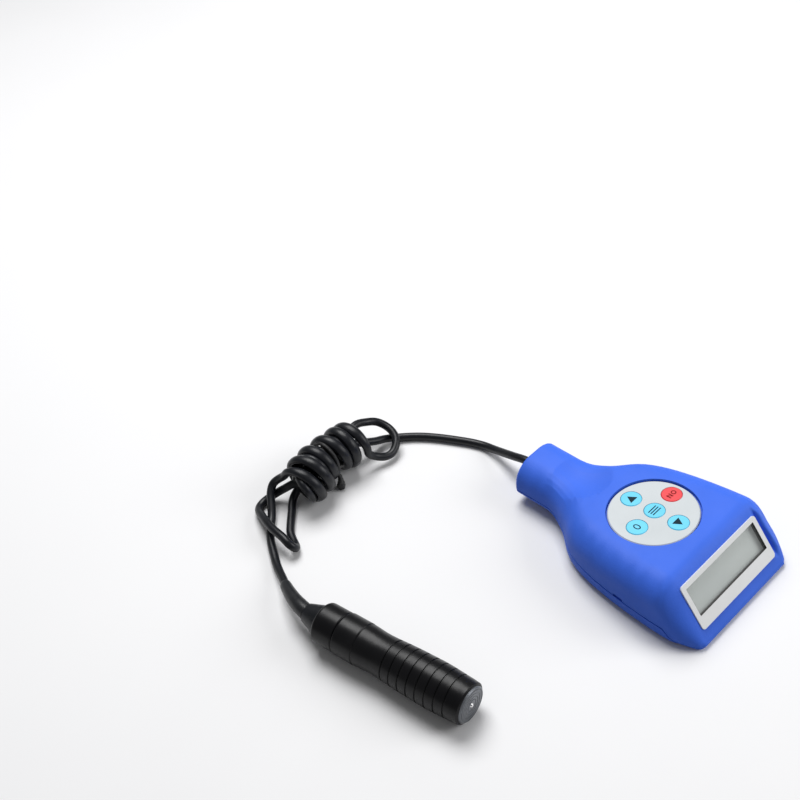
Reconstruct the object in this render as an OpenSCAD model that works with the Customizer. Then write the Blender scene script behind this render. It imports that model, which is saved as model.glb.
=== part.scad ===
// Hand-held coating thickness gauge: a blue moulded case with a sloping display and a round keypad,
// a thin lead wound into a hank, and a grooved cylindrical probe with a sprung measuring head.
// Millimetres. +Z is up, the base stands on z = 0, the display end looks towards -Y and the lead
// leaves the neck towards +Y. The origin is on the base, under the middle of the case.

/* [Case] */
// Length of the case, display end to neck end
body_l = 102; // [98:1:112]
// Greatest width of the case
body_w = 65.4; // [65:0.2:74]
// Height of the case at the ridge above the display
body_h = 25; // [25:0.2:28]
// Wall of the case mouldings
wall = 2.2; // [2:0.1:2.4]
// Slope of the display face from the base
front_angle = 53; // [51:1:56]
// Fall of the top face towards the neck
top_angle = 4.3; // [3.5:0.1:5]
// Radius of the long upper edges
edge_r = 10.5; // [9:0.5:11]
// Radius of the lower edges
foot_r = 4.2; // [3:0.2:4.6]
// Radius of the nose under the display
nose_r = 1.6; // [1.2:0.1:2]
// Softness of the ridge above the display
ridge_soft = 5; // [3:0.5:7]
// Rounding of the neck's end
end_r = 1.2; // [1:0.2:2.4]
// Width of the neck
neck_w = 25; // [24:0.5:28]
// Height of the neck's top face
neck_top = 19.2; // [18.6:0.2:20.4]
// Height of the neck's underside
neck_lift = 3.3; // [2.6:0.1:3.6]
// Depth of the thumb scoop in front of the neck
scoop_depth = 1.5; // [1:0.1:1.8]
// Radius of the thumb scoop
scoop_r = 12; // [10:0.5:13]
// Height of the seam between the two mouldings
seam_h = 7; // [6.6:0.1:7.4]
// Width of the open seam
seam_gap = 0.2; // [0.1:0.05:0.3]
// Distance from the display end to the foot of the seam's sloping end
seam_from = 8.6; // [8:0.2:9.4]

/* [Display] */
// Width of the display bezel
bezel_w = 46.8; // [45:0.2:47.6]
// Height of the display bezel, up the slope
bezel_h = 18.8; // [18:0.2:19.4]
// Distance from the nose to the bezel, up the slope
bezel_from = 4.5; // [4:0.1:5]
// Thickness of the bezel's frame
bezel_t = 1.3; // [1.1:0.1:1.5]
// How far the bezel stands proud of the case
bezel_proud = 0.5; // [0.3:0.1:0.7]
// Margin of the bezel beside the view opening
view_side = 2.1; // [1.9:0.1:2.9]
// Margin of the bezel below the view opening
view_foot = 5; // [4.6:0.1:5.8]
// Margin of the bezel above the view opening
view_margin = 2; // [1.8:0.1:2.4]
// Thickness of the clear window
window_t = 1; // [0.8:0.1:1.2]
// Thickness of the display panel
panel_t = 2; // [1.6:0.1:2.2]

/* [Keypad] */
// Distance from the display end to the middle of the keypad
pad_at = 42.8; // [42:0.2:44]
// Radius of the keypad plate
pad_r = 17.7; // [17.2:0.1:18]
// Thickness of the keypad plate
pad_t = 1; // [0.8:0.1:1.1]
// How far the plate lies below the case
pad_sink = 0.5; // [0.3:0.1:0.6]
// Radius of a key
key_r = 4.1; // [3.8:0.1:4.2]
// Distance from the middle key to the others
key_pitch = 11; // [10.8:0.1:11.6]
// Travel of a key
key_travel = 0.35; // [0.2:0.05:0.35]
// Height of a key above the plate
key_proud = 0.15; // [0.05:0.05:0.3]
// Clearance round a key
key_gap = 0.12; // [0.1:0.02:0.2]

/* [Electronics] */
// Depth of the board's upper face below the top of the case
board_depth = 6.4; // [6.2:0.1:6.8]
// Thickness of the circuit board
board_t = 1.2; // [0.8:0.1:1.4]
// Length of the circuit board
board_l = 43; // [42:0.5:44]
// Width of the circuit board at the display end
board_w = 50; // [48:0.5:51]
// Width of the circuit board at the neck end
board_tail_w = 36; // [34:0.5:37]
// Height of a key switch, button included
switch_h = 3.1; // [2.9:0.1:3.2]
// Side of a key switch
switch_w = 6; // [5.6:0.1:6.4]

/* [Battery bay] */
// Diameter of a cell
cell_d = 10.5; // [10.2:0.1:10.5]
// How much shorter a cell is than the case is wide
cell_room = 20.9; // [20.9:0.1:21.9]
// Distance from the display end to the battery cover
cover_from = 18.2; // [18:0.1:18.6]
// Thickness of the battery cover
cover_t = 1.9; // [1.7:0.1:2]
// Wall of the battery bay
bay_wall = 1.2; // [1:0.1:1.2]

/* [Probe] */
// Length of the probe, face to tail
probe_l = 68.5; // [66:0.5:74]
// Greatest radius of the probe
probe_r = 9; // [8.8:0.1:9.6]
// Width of a groove in the barrel
groove_w = 0.55; // [0.4:0.05:0.8]
// Depth of a groove in the barrel
groove_depth = 0.4; // [0.2:0.05:0.5]
// Number of grip grooves
groove_count = 8; // [6:1:9]
// Distance between grip grooves
groove_pitch = 4; // [3.6:0.1:4.2]
// Radius of the measuring face
face_r = 7.3; // [7:0.1:7.4]
// Travel of the measuring head
head_travel = 2; // [1:0.1:2.2]
// How far the measuring face stands out of the barrel
face_proud = 0.7; // [0.4:0.1:1.2]
// Radius of the measuring pin
pin_r = 0.9; // [0.7:0.1:1.1]

/* [Lead] */
// Diameter of the lead
cord_d = 3.5; // [3:0.1:3.6]
// Outer radius of the hank
hank_r = 11.2; // [10.8:0.1:11.4]
// Length of the hank
hank_l = 38; // [37:0.5:40]
// Diameter of the shrunk sleeve behind the probe
sleeve_d = 6; // [5:0.2:6.4]

/* [Hidden] */
$fn = 48;

// Overrun of cuts, and clearance between fixed pieces
over = 1;
fit = 0.05;

blue = [0.24, 0.4, 0.9];
black = [0.09, 0.09, 0.1];
steel = [0.72, 0.73, 0.75];

// Outline of the case: shares of its length and of half its width
outline_shares = [[0, 0.79], [0.012, 0.845], [0.04, 0.905], [0.075, 0.962], [0.12, 0.994],
    [0.25, 0.99], [0.41, 0.945], [0.54, 0.868], [0.63, 0.755], [0.715, 0.545]];
// Places along the length where the shoulder meets the neck, and where the fall to it starts and ends
shoulder_share = 0.81;
neck_from_share = 0.6;
neck_to_share = 0.86;
scoop_at_share = 0.755;
neck_outline = concat(outline_shares, [[shoulder_share, neck_w / body_w * 1.04],
    [0.9, neck_w / body_w], [1, neck_w / body_w]]);

function clamp(t) = min(max(t, 0), 1);
function ease(t) = let (u = clamp(t)) u * u * (3 - 2 * u);
function mix(a, b, t) = a + (b - a) * t;
function soft_min(a, b, k) = let (h = max(k - abs(a - b), 0) / k) min(a, b) - h * h * k / 4;

// Smooth curve through the points of a table
function span_of(tab, x, i = 0) = i >= len(tab) - 2 || x < tab[i + 1][0] ? i : span_of(tab, x, i + 1);
function slope_at(tab, i) = i == 0 || i == len(tab) - 1 ? 0
    : (tab[i + 1][1] - tab[i - 1][1]) / (tab[i + 1][0] - tab[i - 1][0]);
function curve_at(tab, x) = let (i = span_of(tab, x), a = tab[i], b = tab[i + 1], d = b[0] - a[0],
    t = clamp((x - a[0]) / d), u = t * t, v = u * t)
    (2 * v - 3 * u + 1) * a[1] + (v - 2 * u + t) * d * slope_at(tab, i)
    + (3 * u - 2 * v) * b[1] + (v - u) * d * slope_at(tab, i + 1);

// Side view of the case, s being the distance from the display end
nose_s = nose_r * (1 - sin(front_angle));
nose_z = nose_r * (1 + cos(front_angle));
ridge_s = nose_s + (body_h - nose_z) / tan(front_angle);
function neck_ease(s) = ease((s / body_l - neck_from_share) / (neck_to_share - neck_from_share));
function front_z(s) = s < nose_s ? nose_r + sqrt(max(nose_r * nose_r - pow(nose_r - s, 2), 0))
    : nose_z + tan(front_angle) * (s - nose_s);
function plane_z(s) = body_h - tan(top_angle) * (s - ridge_s);
function half_w(s) = body_w / 2 * curve_at(neck_outline, s / body_l);
function top_z(s) = soft_min(front_z(s), mix(plane_z(s), neck_top, neck_ease(s)), ridge_soft);
function base_z(s) = s < nose_r ? nose_r - sqrt(nose_r * nose_r - pow(nose_r - s, 2))
    : neck_lift * neck_ease(s);
scoop_at = scoop_at_share * body_l;
function scoop_z(x, s) = scoop_depth * clamp(1 - (x * x + pow(s - scoop_at, 2)) / pow(scoop_r, 2));
function y_of(s) = s - body_l / 2;

// One closed section of the case, drawn in from the outside by inset
corner_steps = 6;
foot_steps = 3;
flat_steps = 6;
function arc_pts(cx, cz, r, from, steps) = [for (i = [0:steps])
    let (a = from + 90 * i / steps) [cx + r * cos(a), cz + r * sin(a)]];
function section(s, inset) = let (
    w = half_w(s) - inset, b = base_z(s) + inset,
    t = min(top_z(s) - inset, front_z(s) - inset / cos(front_angle)),
    re = min(edge_r - inset, w * 0.9, (t - b) * 0.6), rf = min(foot_r - inset, (t - b) * 0.35),
    run = concat(
        arc_pts(w - rf, b + rf, rf, -90, foot_steps),
        arc_pts(w - re, t - re, re, 0, corner_steps),
        [for (i = [1:flat_steps - 1]) [(w - re) * (1 - 2 * i / flat_steps), t]],
        arc_pts(re - w, t - re, re, 90, corner_steps),
        arc_pts(rf - w, b + rf, rf, 180, foot_steps)))
    [for (p = run) [p[0], y_of(s), p[1] - (p[1] > (t + b) / 2 ? scoop_z(p[0], s) : 0)]];

// Closed skin over a row of sections with equal numbers of points
module loft(rings) {
    n = len(rings[0]);
    m = len(rings);
    sides = [for (i = [0:m - 2]) for (j = [0:n - 1]) let (k = (j + 1) % n)
        each [[i * n + j, i * n + k, (i + 1) * n + j], [i * n + k, (i + 1) * n + k, (i + 1) * n + j]]];
    first = [for (j = [n - 1:-1:0]) j];
    last = [for (j = [0:n - 1]) (m - 1) * n + j];
    polyhedron(points = [for (r = rings) each r], faces = concat(sides, [first, last]), convexity = 6);
}

// Height of the outside above a point of the plan
function skin_z(x, s) = let (w = half_w(s), t = min(top_z(s), front_z(s)),
    re = min(edge_r, w * 0.9, (t - base_z(s)) * 0.6), d = abs(x) - w + re)
    d < 0 ? t : t - re + sqrt(max(re * re - d * d, 0));
// The same, at the lowest point round a boss, less a little skin
boss_skin = 0.3;
function boss_z(x, s, r) = min([for (a = [0:45:315]) skin_z(x + r * cos(a), s + r * sin(a))]) - boss_skin;

// Sections of the outside: close together on the sloping front and round the thumb scoop,
// rounded off at the neck's end
ring_step = 3;
start_gap = 0.01;
nose_run_shares = [0, 0.12, 0.35, 0.7, 1];
end_angles = [30, 60, 90];
module outer_form() loft(concat(
    [for (q = nose_run_shares) section(start_gap + q * nose_r, 0)],
    [for (s = [start_gap + nose_r + ring_step / 2:ring_step / 2:ridge_s + ridge_soft]) section(s, 0)],
    [for (s = [ridge_s + ridge_soft + ring_step / 2:ring_step:scoop_at - scoop_r - ring_step / 2])
        section(s, 0)],
    [for (s = [scoop_at - scoop_r:ring_step / 2:scoop_at + scoop_r + ring_step / 4]) section(s, 0)],
    [for (s = [scoop_at + scoop_r + ring_step:ring_step:body_l - end_r - ring_step / 3]) section(s, 0)],
    [section(body_l - end_r, 0)],
    [for (a = end_angles) [for (p = section(body_l - end_r, end_r * (1 - cos(a))))
        [p[0], y_of(body_l - end_r + end_r * sin(a)), p[2]]]]));
// Sections of the hollow, a wall's thickness further in
inner_from = 1.9 * wall;
module inner_form() loft(concat(
    [for (s = [inner_from:ring_step:body_l - wall - ring_step / 3]) section(s, wall)],
    [section(body_l - wall, wall)]));

// Frames on the sloping front, at the middle of the bezel, and on the top, at the keypad
module on_front() translate([0, y_of(nose_s + (bezel_from + bezel_h / 2) * cos(front_angle)),
    nose_z + (bezel_from + bezel_h / 2) * sin(front_angle)]) rotate([front_angle, 0, 0]) children();
module on_top() translate([0, y_of(pad_at), plane_z(pad_at)]) rotate([-top_angle, 0, 0]) children();

// Plates with square and with rounded corners, centred, from z = 0 up
module square_plate(w, h, t) translate([-w / 2, -h / 2, 0]) cube([w, h, t]);
module rounded_plate(w, h, t, r) linear_extrude(height = t) union() {
    square([w, h - 2 * r], center = true);
    square([w - 2 * r, h], center = true);
    for (x = [-1, 1], y = [-1, 1]) translate([x * (w / 2 - r), y * (h / 2 - r)]) circle(r = r);
}

// Everything below the seam, which slopes down to the base ahead of the display
seam_slope = 0.84;
module lower_zone(gap) translate([-body_w, 0, 0]) rotate([90, 0, 90])
    linear_extrude(height = 2 * body_w) polygon([[y_of(seam_from) + gap, -over],
        [y_of(seam_from) + gap, nose_r], [y_of(seam_from + seam_h * seam_slope) + gap, seam_h - gap],
        [body_l, seam_h - gap], [body_l, -over]]);

// Board fixings hang from the top of the case
board_screw_r = 0.9;
board_screw_head_r = 1.7;
board_screw_head_t = 1.1;
board_boss_r = 2.3;
board_front = -22;
board_end = pad_at + board_front + board_l;
board_taper_at = 6;
board_side_gap = 1;
board_screw_side = 3.7;
board_screw_end = 3.4;
board_half = min(board_w / 2, half_w(pad_at + board_front) - wall - board_side_gap,
    half_w(pad_at + board_taper_at) - wall - board_side_gap);
board_tail_half = min(board_tail_w / 2, half_w(board_end) - wall - board_side_gap);
board_spots = [for (x = [-1, 1]) each [[x * (board_half - board_screw_side), board_front + board_screw_end],
    [x * (board_tail_half - board_screw_side), board_front + board_l - board_screw_end]]];

// Screws of the case: pairs at the display end and beside the neck, with bosses above and below
screw_front_side = 5.7;
screw_front_at = 15.2;
screw_rear_side = 7.5;
board_to_screw = 5.2;
screw_rear_at = board_end + board_to_screw;
screw_front = [body_w / 2 - screw_front_side, screw_front_at];
screw_rear = [half_w(screw_rear_at) - screw_rear_side, screw_rear_at];
screw_spots = [for (q = [screw_front, screw_rear]) for (x = [-1, 1]) [x * q[0], y_of(q[1])]];
screw_r = 1.2;
screw_head_r = 2.3;
screw_head_t = 1.6;
screw_seat = 3.6;
screw_l = 9.5;
boss_r = 2.5;
boss_wall = 1.1;
boss_foot = 5.6;
module screw(r, head_r, head_t, length) {
    translate([0, 0, -head_t]) difference() {
        cylinder(r = head_r, h = head_t);
        for (a = [0, 90]) rotate(a) translate([-head_r * 0.6, -head_r * 0.14, -over])
            cube([head_r * 1.2, head_r * 0.28, over + head_t / 2]);
    }
    translate([0, 0, -fit]) cylinder(r = r, h = length + fit);
}

// Pry notch in the seam, one on each side
notch_l = 4.4;
notch_h = 0.9;
notch_depth = 1;
notch_at = 35.4;

// Cord exit in the neck's end, with its grommet
exit_z = 11.2;
grommet_r = 2.9;
grommet_flange_r = 4;
grommet_flange_t = 1.4;
cord_r = cord_d / 2;

// Cord clamp posts in the neck
clamp_to_end = 7;
clamp_at = body_l - clamp_to_end;
clamp_spread = 5.2;
clamp_size = [15, 5, 2];
clamp_post_r = 1.9;
clamp_top = exit_z - cord_r - fit;

// Keypad recess and key windows
pad_gap = 0.5;
pad_edge = 0.4;
flange_extra = 0.5;
flange_t = 0.5;
floor_gap = 0.25;
key_shift = [1, 0.3];
key_spots = [for (q = [[0, 0], [1, 0], [-1, 0], [0, -1], [0, 1]]) key_shift + key_pitch * q];

// Bezel collar that passes through the case
ledge = 0.6;
corner_r = 1.4;
collar_depth = 2.2;
view_w = bezel_w - 2 * view_side;
view_h = bezel_h - view_margin - view_foot;
view_up = bezel_h / 2 - view_margin - view_h / 2;

module top_housing() color(blue) difference() {
    union() {
        difference() {
            outer_form();
            inner_form();
            lower_zone(0);
        }
        for (x = [-1, 1]) {
            for (q = [screw_front, screw_rear]) translate([x * q[0], y_of(q[1]), boss_foot])
                cylinder(r = boss_r, h = boss_z(q[0], q[1], boss_r) - boss_foot);
            translate([x * clamp_spread, y_of(clamp_at), clamp_top])
                cylinder(r = clamp_post_r, h = neck_top - wall / 2 - clamp_top);
        }
        on_top() for (q = board_spots) let (s = pad_at + q[1]) translate([q[0], q[1], -board_depth])
            cylinder(r = board_boss_r, h = board_depth + min(boss_z(abs(q[0]), s, board_boss_r) - plane_z(s),
                -wall / 2));
    }
    // Bezel recess, opening and room for the panel
    on_front() {
        translate([0, 0, bezel_proud - bezel_t - fit]) rounded_plate(bezel_w + 2 * fit, bezel_h + 2 * fit,
            bezel_t + over, corner_r + fit);
        translate([0, 0, -collar_depth - panel_t - fit]) rounded_plate(bezel_w - 2 * ledge,
            bezel_h - 2 * ledge, collar_depth + panel_t + over, corner_r);
    }
    // Keypad recess and the holes under the keys
    on_top() {
        translate([0, 0, -pad_sink - pad_t])
            cylinder(r = pad_r + pad_gap, h = pad_sink + pad_t + over, $fn = 96);
        for (q = key_spots) translate([q[0], q[1], -wall - over])
            cylinder(r = key_r + flange_extra + floor_gap, h = wall + over);
        for (q = board_spots) translate([q[0], q[1], -board_depth - over])
            cylinder(r = board_screw_r + fit, h = over + board_depth - wall);
    }
    // Screw holes
    for (p = screw_spots) translate([p[0], p[1], boss_foot - over])
        cylinder(r = screw_r + fit, h = over + screw_seat + screw_l + screw_r - boss_foot);
    for (x = [-1, 1]) translate([x * clamp_spread, y_of(clamp_at), clamp_top - over])
        cylinder(r = board_screw_r + fit, h = over + clamp_post_r * 2);
    // Grommet hole and pry notches
    translate([0, y_of(body_l) + over, exit_z]) rotate([90, 0, 0])
        cylinder(r = grommet_r, h = wall + 2 * over);
    for (x = [-1, 1])
        translate([x * half_w(notch_at) - notch_depth, y_of(notch_at - notch_l / 2), seam_h - over])
            cube([2 * notch_depth, notch_l, over + notch_h]);
}

// Battery bay inside the lower moulding: two cells lie across the case
cell_l = body_w - cell_room;
cell_r = cell_d / 2;
cell_gap = 0.3;
bay_gap = 0.35;
spring_l = 4.6;
contact_t = 0.4;
bay_l = cell_l + spring_l + 2 * contact_t + 2 * fit;
bay_w = 2 * cell_d + cell_gap + 2 * bay_gap;
cover_lap = 0.6;
cover_gap = 0.15;
cell_z = cover_t + cell_gap + fit + cell_r;
bay_top = cell_z + cell_r + bay_gap;
cover_l = bay_l + 2 * cover_lap;
cover_w = bay_w + 2 * cover_lap + bay_wall;
bay_y = y_of(cover_from + cover_w / 2);

// Hooks on the cover's edge nearest the display, in slots of the bay's wall
hook_w = 6;
hook_at = 14;
hook_reach = 1.7;
hook_root = 1.6;
hook_t = 1.1;
hook_lift = wall + 0.2;
slot_gap = 0.4;
slot_h = 4.4;
thumb_w = 12;
thumb_l = 3;
thumb_depth = 1;
module bottom_housing() color([0.2, 0.34, 0.82]) difference() {
    union() {
        intersection() {
            difference() { outer_form(); inner_form(); }
            lower_zone(seam_gap);
        }
        translate([-bay_l / 2 - bay_wall, bay_y - bay_w / 2 - bay_wall, wall / 2])
            cube([bay_l + 2 * bay_wall, bay_w + 2 * bay_wall, bay_top + bay_wall - wall / 2]);
        for (p = screw_spots) let (z = base_z(p[1] + body_l / 2) + wall / 2) translate([p[0], p[1], z])
            cylinder(r = screw_head_r + boss_wall, h = boss_foot - fit - z);
    }
    translate([-bay_l / 2, bay_y - bay_w / 2, -over]) cube([bay_l, bay_w, bay_top + over]);
    translate([-cover_l / 2 - cover_gap, bay_y - cover_w / 2 - cover_gap, -over])
        cube([cover_l + 2 * cover_gap, cover_w + 2 * cover_gap, over + cover_t + fit]);
    for (x = [-1, 1])
        translate([x * hook_at - hook_w / 2 - slot_gap, bay_y - bay_w / 2 - bay_wall - over, 0])
            cube([hook_w + 2 * slot_gap, bay_wall + 2 * over, slot_h]);
    for (p = screw_spots) translate([p[0], p[1], -over]) {
        cylinder(r = screw_head_r + 2 * fit, h = over + screw_seat);
        cylinder(r = screw_r + 3 * fit, h = over + boss_foot + over);
    }
    // Shallow dip for a fingertip behind the cover
    translate([0, bay_y + cover_w / 2, -over]) scale([1, 2 * thumb_l / thumb_w, 1])
        cylinder(r = thumb_w / 2, h = over + thumb_depth);
}

module battery_cover() color([0.2, 0.34, 0.82]) {
    difference() {
        translate([-cover_l / 2, bay_y - cover_w / 2, 0]) cube([cover_l, cover_w, cover_t]);
        for (i = [0:grip_count - 1])
            translate([-thumb_w / 2, bay_y + cover_w / 2 - thumb_l - i * 2 * grip_w, -over])
                cube([thumb_w, grip_w, over + grip_w / 2]);
    }
    for (x = [-1, 1]) {
        translate([x * hook_at - hook_w / 2, bay_y - cover_w / 2 + cover_lap, cover_t / 2])
            cube([hook_w, hook_root, hook_lift + hook_t - cover_t / 2]);
        translate([x * hook_at - hook_w / 2, bay_y - cover_w / 2 + cover_gap - hook_reach, hook_lift])
            cube([hook_w, hook_reach + hook_root, hook_t]);
    }
}
grip_count = 4;
grip_w = 0.8;

module display_bezel() color([0.93, 0.94, 0.95]) on_front() difference() {
    union() {
        translate([0, 0, bezel_proud - bezel_t]) rounded_plate(bezel_w, bezel_h, bezel_t, corner_r);
        translate([0, 0, -collar_depth]) rounded_plate(bezel_w - 2 * ledge - 2 * fit,
            bezel_h - 2 * ledge - 2 * fit, collar_depth, corner_r - fit);
    }
    translate([0, view_up, -collar_depth - over])
        square_plate(view_w, view_h, collar_depth + 2 * over + bezel_proud);
    translate([0, view_up, -collar_depth - over])
        square_plate(view_w + 2 * ledge, view_h + 2 * ledge, collar_depth + over - window_depth);
}
window_depth = 0.5;
module display_window() color([0.85, 0.9, 0.9, 0.4]) on_front()
    translate([0, view_up, -window_depth - window_t])
        square_plate(view_w + 2 * ledge - 2 * fit, view_h + 2 * ledge - 2 * fit, window_t - fit);
module lcd_panel() color([0.62, 0.67, 0.64]) on_front()
    translate([0, 0, -collar_depth - panel_t]) rounded_plate(bezel_w - 2 * ledge - 4 * fit,
        bezel_h - 2 * ledge - 4 * fit, panel_t - fit, corner_r / 2);

// Flat ribbon from the back of the panel to the front edge of the board
ribbon_w = 24;
ribbon_t = 0.3;
ribbon_lap = 4;
function panel_back(u) = let (v = -collar_depth - panel_t - ribbon_t, c = bezel_from + bezel_h / 2 + u)
    [nose_s + c * cos(front_angle) - v * sin(front_angle),
    nose_z + c * sin(front_angle) + v * cos(front_angle)];
function board_under(w) = let (c = board_front + w, v = board_depth + board_t + ribbon_t)
    [pad_at + c * cos(top_angle) - v * sin(top_angle),
    plane_z(pad_at) - c * sin(top_angle) - v * cos(top_angle)];
function band_pts(p, t) = let (n = len(p), d = [for (i = [0:n - 1])
    let (q = p[min(i + 1, n - 1)] - p[max(i - 1, 0)]) [-q[1], q[0]] / norm(q) * t / 2])
    concat([for (i = [0:n - 1]) p[i] + d[i]], [for (i = [n - 1:-1:0]) p[i] - d[i]]);
module display_ribbon() color([0.72, 0.5, 0.2]) translate([-ribbon_w / 2, -body_l / 2, 0])
    rotate([90, 0, 90]) linear_extrude(height = ribbon_w) polygon(band_pts([panel_back(0),
        panel_back(ribbon_lap), (panel_back(ribbon_lap) + board_under(0)) / 2 + [0, -ribbon_t],
        board_under(0), board_under(ribbon_lap)], ribbon_t));

module keypad_plate() color([0.83, 0.84, 0.85]) on_top() difference() {
    union() {
        translate([0, 0, -pad_sink - pad_t + fit]) cylinder(r = pad_r, h = pad_t - fit - pad_edge, $fn = 96);
        translate([0, 0, -pad_sink - pad_edge]) cylinder(r1 = pad_r, r2 = pad_r - pad_edge, h = pad_edge,
            $fn = 96);
    }
    for (q = key_spots) translate([q[0], q[1], -pad_sink - pad_t - over])
        cylinder(r = key_r + key_gap, h = pad_t + 2 * over);
}

// A key: cap, flange under the plate and stem down to its switch
stem_r = 1.5;
key_edge = 0.3;
stem_z = -board_depth + switch_h + key_travel + 2 * fit;
flange_z = -pad_sink - pad_t;
cap_z = key_proud - pad_sink;
module key_at(q, tint) color(tint) on_top() translate([q[0], q[1], 0]) rotate_extrude() polygon([
    [0, stem_z], [stem_r, stem_z], [stem_r, flange_z - flange_t],
    [key_r + flange_extra, flange_z - flange_t], [key_r + flange_extra, flange_z], [key_r, flange_z],
    [key_r, cap_z - key_edge], [key_r - key_edge, cap_z], [0, cap_z]]);
module key_menu() key_at(key_spots[0], [0.45, 0.83, 0.97]);
module key_power() key_at(key_spots[1], [0.96, 0.36, 0.36]);
module key_zero() key_at(key_spots[2], [0.45, 0.83, 0.97]);
module key_up() key_at(key_spots[3], [0.45, 0.83, 0.97]);
module key_down() key_at(key_spots[4], [0.45, 0.83, 0.97]);

module circuit_board() color([0.1, 0.35, 0.2]) on_top()
    translate([0, 0, -board_depth - board_t]) difference() {
    linear_extrude(height = board_t) polygon([[-board_half, board_front], [board_half, board_front],
        [board_half, board_taper_at], [board_tail_half, board_front + board_l],
        [-board_tail_half, board_front + board_l], [-board_half, board_taper_at]]);
    for (q = board_spots) translate([q[0], q[1], -over])
        cylinder(r = board_screw_r + 2 * fit, h = board_t + 2 * over);
}
switch_body_h = 2.3;
switch_button_r = 1.7;
module key_switches() color([0.25, 0.25, 0.27]) on_top() for (q = key_spots)
    translate([q[0], q[1], -board_depth + fit]) {
        translate([-switch_w / 2, -switch_w / 2, 0]) cube([switch_w, switch_w, switch_body_h]);
        cylinder(r = switch_button_r, h = switch_h - fit);
    }
chip_size = [9, 9, 1.4];
chip_at = 9;
module processor() color([0.12, 0.12, 0.13]) on_top() translate([-chip_size[0] / 2,
    chip_at - chip_size[1] / 2, -board_depth - board_t - chip_size[2] - fit]) cube(chip_size);
plug_size = [9, 4, 5.2];
module lead_connector() color([0.9, 0.88, 0.8]) on_top()
    translate([-plug_size[0] / 2, board_front + board_l - plug_size[1] - over,
        -board_depth - board_t - plug_size[2] - fit]) cube(plug_size);

// Cells, their end plates and their coil springs
cell_button_r = 1.9;
cell_button_l = 1;
cell_edge = 0.4;
cell_from = -bay_l / 2 + contact_t + spring_l + fit;
module cell() rotate([0, 90, 0]) rotate_extrude() polygon([[0, 0], [cell_r - cell_edge, 0],
    [cell_r, cell_edge], [cell_r, cell_l - cell_button_l - cell_edge],
    [cell_r - cell_edge, cell_l - cell_button_l], [cell_button_r, cell_l - cell_button_l],
    [cell_button_r, cell_l], [0, cell_l]]);
cell_row = (cell_d + cell_gap) / 2;
module both_cells() for (e = [-1, 1]) translate([0, bay_y + e * cell_row, cell_z])
    rotate(e < 0 ? 0 : 180) children();
module battery_cells() color([0.75, 0.6, 0.25]) both_cells() translate([cell_from, 0, 0]) cell();

// Tube swept along points, with its section turned to face along the path
function unit(v) = v / norm(v);
function path_dir(p, i) = unit(p[min(i + 1, len(p) - 1)] - p[max(i - 1, 0)]);
function tube_ring(p, i, r, sides) = let (t = path_dir(p, i), a = unit(cross(t, [0, 0, 1])), b = cross(a, t))
    [for (k = [0:sides - 1]) p[i] + r * (a * cos(360 * k / sides) - b * sin(360 * k / sides))];
module tube(p, r, sides) loft([for (i = [0:len(p) - 1]) tube_ring(p, i, r, sides)]);
function coil_path(r0, r1, length, turns, steps) = [for (i = [0:turns * steps])
    let (q = i / (turns * steps), r = mix(r0, r1, q), a = 360 * i / steps)
    [r * cos(a), r * sin(a), q * length]];

spring_wire_r = 0.35;
spring_turns = 3;
spring_steps = 10;
wire_sides = 6;
spring_r0 = 3.4;
spring_r1 = 2;
module contact_springs() color(steel) both_cells()
    translate([-bay_l / 2 + contact_t + spring_wire_r + fit, 0, 0]) rotate([0, 90, 0])
        tube(coil_path(spring_r0, spring_r1, spring_l - 2 * spring_wire_r - fit, spring_turns, spring_steps),
            spring_wire_r, wire_sides);
plate_w = 8;
plate_h = 9;
module contact_plates() color(steel) {
    for (e = [-1, 1]) translate([-bay_l / 2 + fit, bay_y + e * cell_row - plate_w / 2, cell_z - plate_h / 2])
        cube([contact_t - fit, plate_w, plate_h]);
    translate([bay_l / 2 - contact_t, bay_y - cell_row - plate_w / 2, cell_z - plate_h / 2])
        cube([contact_t - fit, 2 * cell_row + plate_w, plate_h]);
}

module case_screws() color(steel) for (p = screw_spots) translate([p[0], p[1], screw_seat - fit])
    screw(screw_r, screw_head_r, screw_head_t, screw_l);
board_screw_l = 4;
module board_screws() color(steel) on_top() for (q = board_spots)
    translate([q[0], q[1], -board_depth - board_t - fit])
        screw(board_screw_r, board_screw_head_r, board_screw_head_t, board_screw_l);

module along_cord(s) translate([0, y_of(s), exit_z]) rotate([90, 0, 0]) children();
module cord_grommet() color(black) along_cord(body_l) difference() {
    union() {
        cylinder(r = grommet_r - fit, h = wall + fit);
        translate([0, 0, wall + fit]) cylinder(r = grommet_flange_r, h = grommet_flange_t);
    }
    translate([0, 0, -over]) cylinder(r = cord_r + fit, h = wall + grommet_flange_t + 2 * over);
}
module cord_clamp() color([0.85, 0.85, 0.86]) difference() {
    translate([-clamp_size[0] / 2, y_of(clamp_at) - clamp_size[1] / 2, clamp_top - fit - clamp_size[2]])
        cube(clamp_size);
    for (x = [-1, 1]) translate([x * clamp_spread, y_of(clamp_at), clamp_top - clamp_size[2] - over])
        cylinder(r = board_screw_r + 2 * fit, h = clamp_size[2] + 2 * over);
}
clamp_screw_l = 5;
module clamp_screws() color(steel) for (x = [-1, 1])
    translate([x * clamp_spread, y_of(clamp_at), clamp_top - clamp_size[2] - 2 * fit])
        screw(board_screw_r, board_screw_head_r, board_screw_head_t, clamp_screw_l);
lead_tuck = 1.6;
lead_from = board_end - lead_tuck;
lead_join = 1;
module inner_lead() color(black) along_cord(body_l - lead_join)
    cylinder(r = cord_r, h = body_l - lead_join - lead_from);

// The probe in its own frame: z runs from the face to the tail, turned a little from the Y axis
probe_tip = [-103.4, -6.4];
probe_turn = 7.2;
module on_probe() translate([probe_tip[0], probe_tip[1], probe_r]) rotate([-90, 0, probe_turn]) children();
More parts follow.
